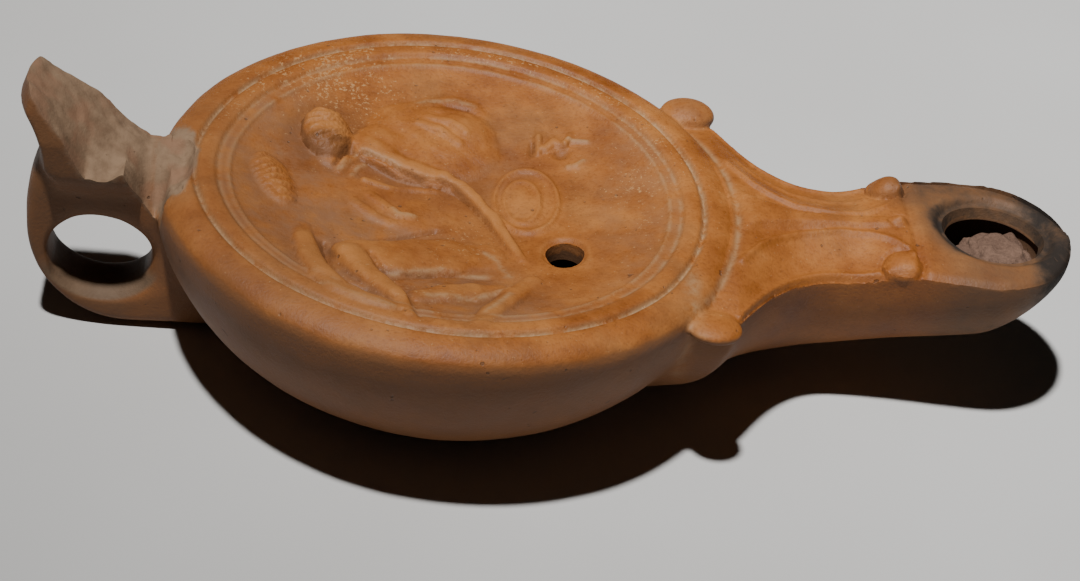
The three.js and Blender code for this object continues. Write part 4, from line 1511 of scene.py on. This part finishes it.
@dataclass
class OilLamp:
    """The whole lamp, one hollow piece of clay."""

    voxel: float = 0.32
    triangles: int = 168_000
    sharp_angle: float = 48.0
    skin_rounds: int = 4
    joint_rounds: int = 45
    level_rounds: int = 45
    bowl: Bowl = field(default_factory=Bowl)
    handle: RingHandle = field(default_factory=RingHandle)
    finish: FiredClay = field(default_factory=FiredClay)
    nozzle: Nozzle = field(init=False)

    def __post_init__(self) -> None:
        """Set the nozzle on the bowl."""
        self.nozzle = Nozzle(self.bowl)

    def top(self, x: np.ndarray, y: np.ndarray) -> np.ndarray:
        """Height of the lamp's top, bowl and nozzle run together."""
        r = np.hypot(x, y)
        fall = 6.0 * smoothstep(-r, -self.nozzle.seam + 0.8, -self.nozzle.seam + 2.0)
        fall = fall + 0.3 * bell(r, self.nozzle.seam, 0.5) * (np.abs(y) < 20.0)
        ahead = np.where(x > 20.0, self.nozzle.top(x, y) - fall, 0.0)
        body = np.where(r < self.bowl.radius, self.bowl.top(x, y), 0.0)
        return soft_max(body, ahead, 0.5)

    def joined(self) -> bpy.types.Object:
        """Run the closed shells into one skin.

        Returns:
            The solid lamp before its finer forms.
        """
        bm = bmesh.new()
        self.bowl.add_shell(bm)
        self.nozzle.add_shell(bm)
        self.handle.add_shell(bm)
        lamp = object_from("lamp_body", bm)
        remesh = lamp.modifiers.new("skin", "REMESH")
        remesh.mode = "VOXEL"
        remesh.voxel_size = self.voxel
        bake(lamp)
        return lamp

    def joints(self, places: np.ndarray) -> np.ndarray:
        """How far each point lies in a joint that the potter smoothed over.

        Args:
            places: Rows of x, y, z.

        Returns:
            Shares from 0 to 1.
        """
        x, y, z = places.T
        from_bowl = np.hypot(x, y) - self.bowl.side_radius(z)
        from_flank = np.abs(y) - self.nozzle.flank(np.maximum(x, 24.0), z)
        flank = bell(from_bowl, 0.0, 3.5) * bell(from_flank, 0.0, 3.5)
        flank = flank * (x > 18.0) * smoothstep(-z, -23.5, -21.0)
        root = bell(from_bowl, 0.0, 3.0) * (x < -15.0) * smoothstep(-np.abs(y), -9.0, -6.5)
        flare = (x < -42.0) * smoothstep(z, 18.0, 21.0) * smoothstep(-z, -30.0, -26.0)
        return np.clip(flank + root * smoothstep(-z, -24.0, -22.0) + 0.7 * flare, 0.0, 1.0)

    def on_knob(self, x: np.ndarray, y: np.ndarray) -> np.ndarray:
        """How far each plan place lies on a knob."""
        nozzle = self.nozzle
        lobes = (
            (nozzle.near_lobe, nozzle.near_lobe_radii),
            (nozzle.far_lobe, nozzle.far_lobe_radii),
        )
        reach = [
            np.hypot((x - place[0]) / radii[0], (y - place[1]) / radii[1]) for place, radii in lobes
        ]
        return smoothstep(-np.min(reach, axis=0), -1.25, -1.05)

    def work_surface(self, lamp: bpy.types.Object) -> None:
        """Smooth the skin, press in the top's forms and leave the hand's unevenness."""
        mesh = lamp.data
        near = Neighbours(mesh)
        places = near.smoothed(vertex_places(mesh), self.skin_rounds, 0.5)
        places = near.smoothed(places, self.joint_rounds, 0.5 * self.joints(places))
        move_vertices(mesh, places)
        normals = vertex_normals(mesh)
        x, y, z = places.T
        top = self.top(x, y)
        facing = smoothstep(normals[:, 2], 0.3, 0.6) * smoothstep(-np.abs(z - top), -5.0, -4.2)
        stump = np.maximum(smoothstep(z - top, 0.2, 0.6), smoothstep(-x, 39.5, 40.5))
        stump = (x < -37.0) * (np.abs(y) < 10.5) * stump
        facing = facing * (1.0 - stump) * (1.0 - self.on_knob(x, y))
        places[:, 2] = mix(z, top, facing)
        places = self.bowl.lean.raised(places)
        uneven = 0.10 * lattice_noise(places, 13.0, 11) + 0.05 * lattice_noise(places, 5.0, 12)
        uneven = uneven + 0.025 * lattice_noise(places, 1.6, 13)
        standing = smoothstep(places[:, 2], 0.3, 1.5)
        places = places + normals * (uneven * standing)[:, None]
        places[:, 2] = np.maximum(places[:, 2], 0.0)
        move_vertices(mesh, places)

    def thin_out(self, lamp: bpy.types.Object) -> None:
        """Collapse small faces down to the number allowed."""
        lamp.data.calc_loop_triangles()
        step = lamp.modifiers.new("thin", "DECIMATE")
        step.ratio = min(1.0, self.triangles / len(lamp.data.loop_triangles))
        step.use_collapse_triangulate = True
        bake(lamp)

    def hollow_out(self, lamp: bpy.types.Object) -> None:
        """Break off the leaf, then cut the oil chamber, the wick's way and the holes."""
        tools = (
            self.handle.break_tool(),
            self.bowl.chamber(),
            self.nozzle.channel(self.nozzle.channel_wall),
            self.nozzle.wick_hole(),
            self.bowl.filling_hole(),
        )
        for tool in tools:
            carve(lamp, tool, Cut.TAKE_AWAY)

    def masks(
        self, places: np.ndarray, normals: np.ndarray, near: Neighbours
    ) -> dict[Layer, np.ndarray]:
        """Work out the finish's masks from the finished form.

        Args:
            places: Rows of x, y, z.
            normals: Rows of the vertices' normals.
            near: The mesh's neighbours.

        Returns:
            One value for each vertex in each layer.
        """
        places = self.bowl.lean.levelled(places)
        x, y, z = places.T
        r = np.hypot(x, y)
        nozzle, bowl, handle = self.nozzle, self.bowl, self.handle
        level = z
        for _ in range(self.level_rounds):
            level = near.mean(level)
        sunk = (level - z) * (normals[:, 2] > 0.3)
        top_gap = self.top(x, y) - z
        inside_bowl = (r < bowl.side_radius(z) - 1.8) & (z < bowl.plain_top(r) - 1.6) & (z > 2.5)
        inside_nozzle = (x > 40.0) & (np.abs(y) < nozzle.flank(x, z) - 1.6) & (top_gap > 1.5)
        inside_nozzle &= (z > nozzle.underside(x) + 1.6) & (normals[:, 1] * np.sign(y) < 0.15)
        ragged = np.sqrt(handle.chip.spread(x, y)) + 0.2 * lattice_noise(places, 2.2, 43)
        worn_rim = smoothstep(-ragged, -1.12, -0.98) * (z > 21.0)
        chipped = (ragged < 1.6) & (z > 21.0) & (normals[:, 2] > -0.1)
        # Painted shade: inner faces of the chamber and the channel are painted near black.
        hollow = ((inside_bowl | inside_nozzle) & ~chipped).astype(float)
        shown = 1.0 - hollow
        broken = bell(z - handle.break_height(x, y), 0.0, 0.35) * (x < -35.5) * (z > 18.0)
        broken = np.maximum(broken, worn_rim)
        on_disc = smoothstep(-r, -35.0, -32.5) * (top_gap < 1.5)

        wick = np.maximum(nozzle.wick_reach(x, y), 0.0)
        leftwards = smoothstep(-x, -79.0, -72.0)
        halo = bell(wick, 0.0, mix(1.3, 3.5, leftwards)) * mix(0.75, 0.88, leftwards)
        halo = halo * (top_gap < 4.0)
        tip = 0.92 * smoothstep(x, 74.0, 89.5)
        farther = smoothstep(y, -2.0, 8.0)
        haze = mix(0.6, 0.7, farther) * smoothstep(x - mix(66.0, 61.0, farther), 0.0, 10.0)
        # Painted shade: the handle's sides are darkened through the soot mask.
        handle_shade = 0.3 * smoothstep(-x, 43.0, 47.0) * (1.0 - np.clip(broken, 0.0, 1.0))
        soot = np.clip(np.max((halo, tip, haze, handle_shade), axis=0), 0.0, 1.0)

        grooves = bell(r, bowl.groove, 0.38)
        grooves = grooves + 0.5 * bell(r, bowl.inner_groove, 0.32) + 0.4 * bell(r, bowl.ridge, 0.3)
        grooves = grooves * (normals[:, 2] > 0.4) * (top_gap < 1.2)
        seam = 0.6 * bell(r, nozzle.seam, 0.5) * (x > 24.0) * (np.abs(y) < 22.0) * (top_gap < 1.5)
        lobe = self.on_knob(x, y) * (y > 0.0) * (normals[:, 2] > 0.2)
        smear = 0.7 * bell(x, 33.2, 1.3) * smoothstep(-y, 14.0, 20.0)
        smear = smear * smoothstep(z, 8.0, 16.0) * shown
        smear = smear * np.clip(0.7 + 0.7 * lattice_noise(places, 1.6, 44), 0.0, 1.0)
        reach = np.hypot(x - handle.hole_x, z - handle.hole_z)
        turn = np.arctan2(z - handle.hole_z, x - handle.hole_x)
        below = smoothstep(-turn, 0.25, 0.6) * smoothstep(turn, -3.1, -2.7)
        crescent = smoothstep(-(reach - handle.hole_reach(turn)), -1.9, -1.3) * below * (x < -40.0)
        drawn = bowl.figures_at(x, y)
        # Pale lines along the relief's edges, part dust and part painted highlight.
        edges = 0.55 * bowl.relief.pale(*drawn) * on_disc
        dust = np.clip(np.maximum(grooves + seam, edges), 0.0, 1.0)
        dust = np.maximum(np.maximum(dust, 0.15 * lobe), smear) * shown

        heads = (HEAD_LEANING, HEAD_RECLINING)
        curls = [smoothstep(-head.spread(*drawn), -1.0, -0.5) for head in heads]
        hair = np.max(curls, axis=0) * (top_gap < 1.5)
        # Painted shade: the lower, near side of the leaning head is painted darker.
        under = smoothstep(-HEAD_LEANING.spread(*drawn), -1.2, -0.9)
        under = under * smoothstep(-drawn[1], -12.6, -10.6)
        lower = smoothstep(-x - 0.8 * y, -6.0, 16.0) * on_disc
        rightwards = 0.6 * smoothstep(x, 16.0, 26.0) * on_disc
        ground = 1.0 - 0.85 * smoothstep(bowl.relief.height(*drawn), 0.2, 0.8)
        middle = 0.7 * bell(x, 7.0, 6.0) * bell(y, 12.0, 9.0) * on_disc
        faded = np.clip(lower + rightwards + middle, 0.0, 1.0) * ground
        upper_left = bell(x, -17.0, 11.0) * bell(y, 25.0, 8.0)
        right = 0.75 * bell(x, 27.0, 4.5) * bell(y, 4.0, 13.0)
        belly = 0.4 * bell(x, -8.0, 10.0) * bell(y, -24.0, 10.0)
        belly = belly + 0.6 * bell(x, 2.0, 6.0) * bell(y, -9.0, 6.0)
        ridge = 0.7 * bell(r, 35.0, 2.4) * smoothstep(y, -5.0, 20.0)
        bloom = np.clip(upper_left + right + belly + ridge, 0.0, 1.0) * (top_gap < 1.5)
        # Painted shade with some brown patina: steep sides, the left of the top and the handle are
        # painted darker.
        stray = 0.16 * lattice_noise(places, 5.0, 41) + 0.08 * lattice_noise(places, 1.8, 42)
        steep = smoothstep(stray - normals[:, 2], -0.82, -0.25)
        steep = steep * mix(1.0, 0.42, smoothstep(x, 38.0, 48.0))
        shaded = 0.42 * smoothstep(-x - 0.4 * y, 12.0, 32.0) * smoothstep(r, 20.0, 34.0)
        wall = np.maximum(np.maximum(steep, shaded), 0.85 * smoothstep(-x, 41.5, 43.5))
        wall = wall * shown * (1.0 - 0.8 * smear)
        return {
            Layer.SOOT_AND_SHADE: np.maximum(soot * (1.0 - 0.5 * hollow), 0.6 * crescent),
            # Pale worn strip under the finger hole, also painted paler as a painted highlight for
            # the light it catches.
            Layer.BREAK: np.clip(np.maximum(broken, 0.8 * crescent), 0.0, 1.0),
            Layer.DUST: dust,
            Layer.FADED: faded,
            Layer.BLOOM: bloom,
            Layer.WALL_PATINA_AND_SHADE: wall,
            Layer.HOLLOW_SHADE: hollow * 0.85,
            # Painted highlight: raised crests of the relief are painted a brighter orange.
            Layer.CREST_HIGHLIGHT: 0.6 * smoothstep(-sunk, 0.05, 0.45) * on_disc,
            # Dark brown in the relief's hollows, part grime and part painted shade, and painted
            # shade under the leaning head.
            Layer.GRIME_AND_SHADE: np.maximum(0.45 * smoothstep(sunk, 0.1, 0.7), 0.6 * under) * on_disc,
            Layer.HAIR: hair,
        }

    def dress(self, lamp: bpy.types.Object) -> None:
        """Paint the masks, set the finish and name what the piece stands for."""
        mesh = lamp.data
        painted = self.masks(vertex_places(mesh), vertex_normals(mesh), Neighbours(mesh))
        for layer, values in painted.items():
            store = mesh.attributes.new(layer.value, "FLOAT", "POINT")
            store.data.foreach_set("value", values.astype(np.float32))
        mesh.transform(Matrix.Scale(METRES, 4))
        mesh.shade_smooth()
        mesh.set_sharp_from_angle(angle=math.radians(self.sharp_angle))
        mesh.materials.clear()
        mesh.materials.append(self.finish.material())
        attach(lamp, BODY)
        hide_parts(CAD_NODE)

    def build(self) -> bpy.types.Object:
        """Make the lamp.

        Returns:
            The finished piece.
        """
        lamp = self.joined()
        self.work_surface(lamp)
        self.thin_out(lamp)
        self.hollow_out(lamp)
        self.dress(lamp)
        return lamp


@dataclass
class EarthLump:
    """The clod of earth left in the nozzle, under the wick hole."""

    nozzle: Nozzle
    middle: tuple[float, float, float] = (81.6, 0.2, 15.9)
    radii: tuple[float, float, float] = (7.2, 7.6, 7.6)
    boxy: float = 0.7
    sink: float = 0.12
    finish: CakedEarth = field(default_factory=CakedEarth)

    def build(self) -> bpy.types.Object:
        """Make the clod.

        Returns:
            The finished piece.
        """
        bm = bmesh.new()
        bmesh.ops.create_icosphere(bm, subdivisions=6, radius=1.0)

        def shape(unit: np.ndarray) -> np.ndarray:
            swell = 1.0 + 0.1 * lattice_noise(unit, 0.55, 21)
            swell = swell + 0.09 * lattice_noise(unit, 0.24, 22)
            swell = swell + 0.05 * lattice_noise(unit, 0.1, 23)
            squared = signed_power(unit, self.boxy)
            return np.array(self.middle) + squared * swell[:, None] * np.array(self.radii)

        reshape(bm, shape)
        clod = object_from("nozzle_earth", bm)
        carve(clod, self.nozzle.channel(self.nozzle.channel_wall - self.sink), Cut.KEEP_COMMON)
        mesh = clod.data
        mesh.transform(Matrix.Scale(METRES, 4))
        mesh.shade_smooth()
        mesh.materials.clear()
        mesh.materials.append(self.finish.material())
        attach(clod, BODY)
        return clod


@dataclass
class Studio:
    """The pale floor, the lights and the camera."""

    floor_side: float = 3.0
    image_width: int = 1080
    focal_pixels: float = 2600.0
    sensor: float = 36.0
    target: tuple[float, float, float] = (0.0118, -0.02408, 0.028)
    azimuth: float = -7.68
    elevation: float = 36.96
    roll: float = 9.17
    distance: float = 0.354
    key_place: tuple[float, float, float] = (-0.17, -0.23, 1.12)
    key_aim: tuple[float, float, float] = (0.35, 0.30, 0.0)
    key_radius: float = 0.03
    pool: tuple[float, float] = (62.0, 98.0)
    spill: tuple[float, float] = (160.0, 26.0)
    sky: float = 0.010
    sky_colour: SolidColour = (1.0, 0.96, 0.9, 1.0)

    def floor(self) -> bpy.types.Object:
        """Lay the floor under the lamp."""
        bm = bmesh.new()
        bmesh.ops.create_grid(bm, x_segments=4, y_segments=4, size=0.5 * self.floor_side)
        made = object_from("floor", bm)
        made.data.materials.append(PaleFloor().material())
        return made

    def light(self, name: str, cone: float, power: float) -> bpy.types.Object:
        """Hang a soft lamp at the key's place, fading out towards the edge of its cone.

        Args:
            name: The lamp's name.
            cone: The cone's full angle in degrees.
            power: The lamp's power in watts.

        Returns:
            The lamp.
        """
        lamp = bpy.data.lights.new(name, "SPOT")
        lamp.energy = power
        lamp.shadow_soft_size = self.key_radius
        lamp.spot_size = math.radians(cone)
        lamp.spot_blend = 1.0
        made = bpy.data.objects.new(name, lamp)
        aim = Vector(self.key_aim) - Vector(self.key_place)
        turn = aim.to_track_quat("-Z", "Y").to_matrix().to_4x4()
        made.matrix_world = Matrix.Translation(self.key_place) @ turn
        bpy.context.scene.collection.objects.link(made)
        return made

    def camera(self) -> bpy.types.Object:
        """Set the camera at the picture's place and roll."""
        angles = (self.azimuth, self.elevation, self.roll)
        turn, tilt, roll = (math.radians(angle) for angle in angles)
        level = math.cos(tilt)
        back = Vector((math.sin(turn) * level, -math.cos(turn) * level, math.sin(tilt)))
        right = (-back).cross(Vector((0.0, 0.0, 1.0))).normalized()
        up = right.cross(-back)
        across = math.cos(roll) * right + math.sin(roll) * up
        upright = -math.sin(roll) * right + math.cos(roll) * up
        lens = bpy.data.cameras.new("camera")
        lens.sensor_fit = "HORIZONTAL"
        lens.sensor_width = self.sensor
        lens.lens = self.focal_pixels / self.image_width * self.sensor
        lens.clip_start = 0.01
        made = bpy.data.objects.new("camera", lens)
        frame = Matrix((across, upright, back)).transposed().to_4x4()
        made.matrix_world = Matrix.Translation(Vector(self.target) + self.distance * back) @ frame
        bpy.context.scene.collection.objects.link(made)
        bpy.context.scene.camera = made
        return made

    def build(self) -> None:
        """Set out the floor, the lights and the camera."""
        self.floor()
        self.light("key_pool", *self.pool)
        self.light("key_spill", *self.spill)
        world = bpy.data.worlds.new("room")
        world.use_nodes = True
        background = world.node_tree.nodes["Background"]
        background.inputs["Color"].default_value = self.sky_colour
        background.inputs["Strength"].default_value = self.sky
        bpy.context.scene.world = world
        self.camera()


def main() -> None:
    """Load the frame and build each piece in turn."""
    logging.basicConfig(level=logging.INFO, format="%(message)s")
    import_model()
    studio = Studio()
    studio.build()
    lamp = OilLamp()
    for piece in (lamp.build(), EarthLump(lamp.nozzle).build()):
        piece.data.calc_loop_triangles()
        LOG.info("%s: %d triangles", piece.name, len(piece.data.loop_triangles))


if __name__ == "__main__":
    main()
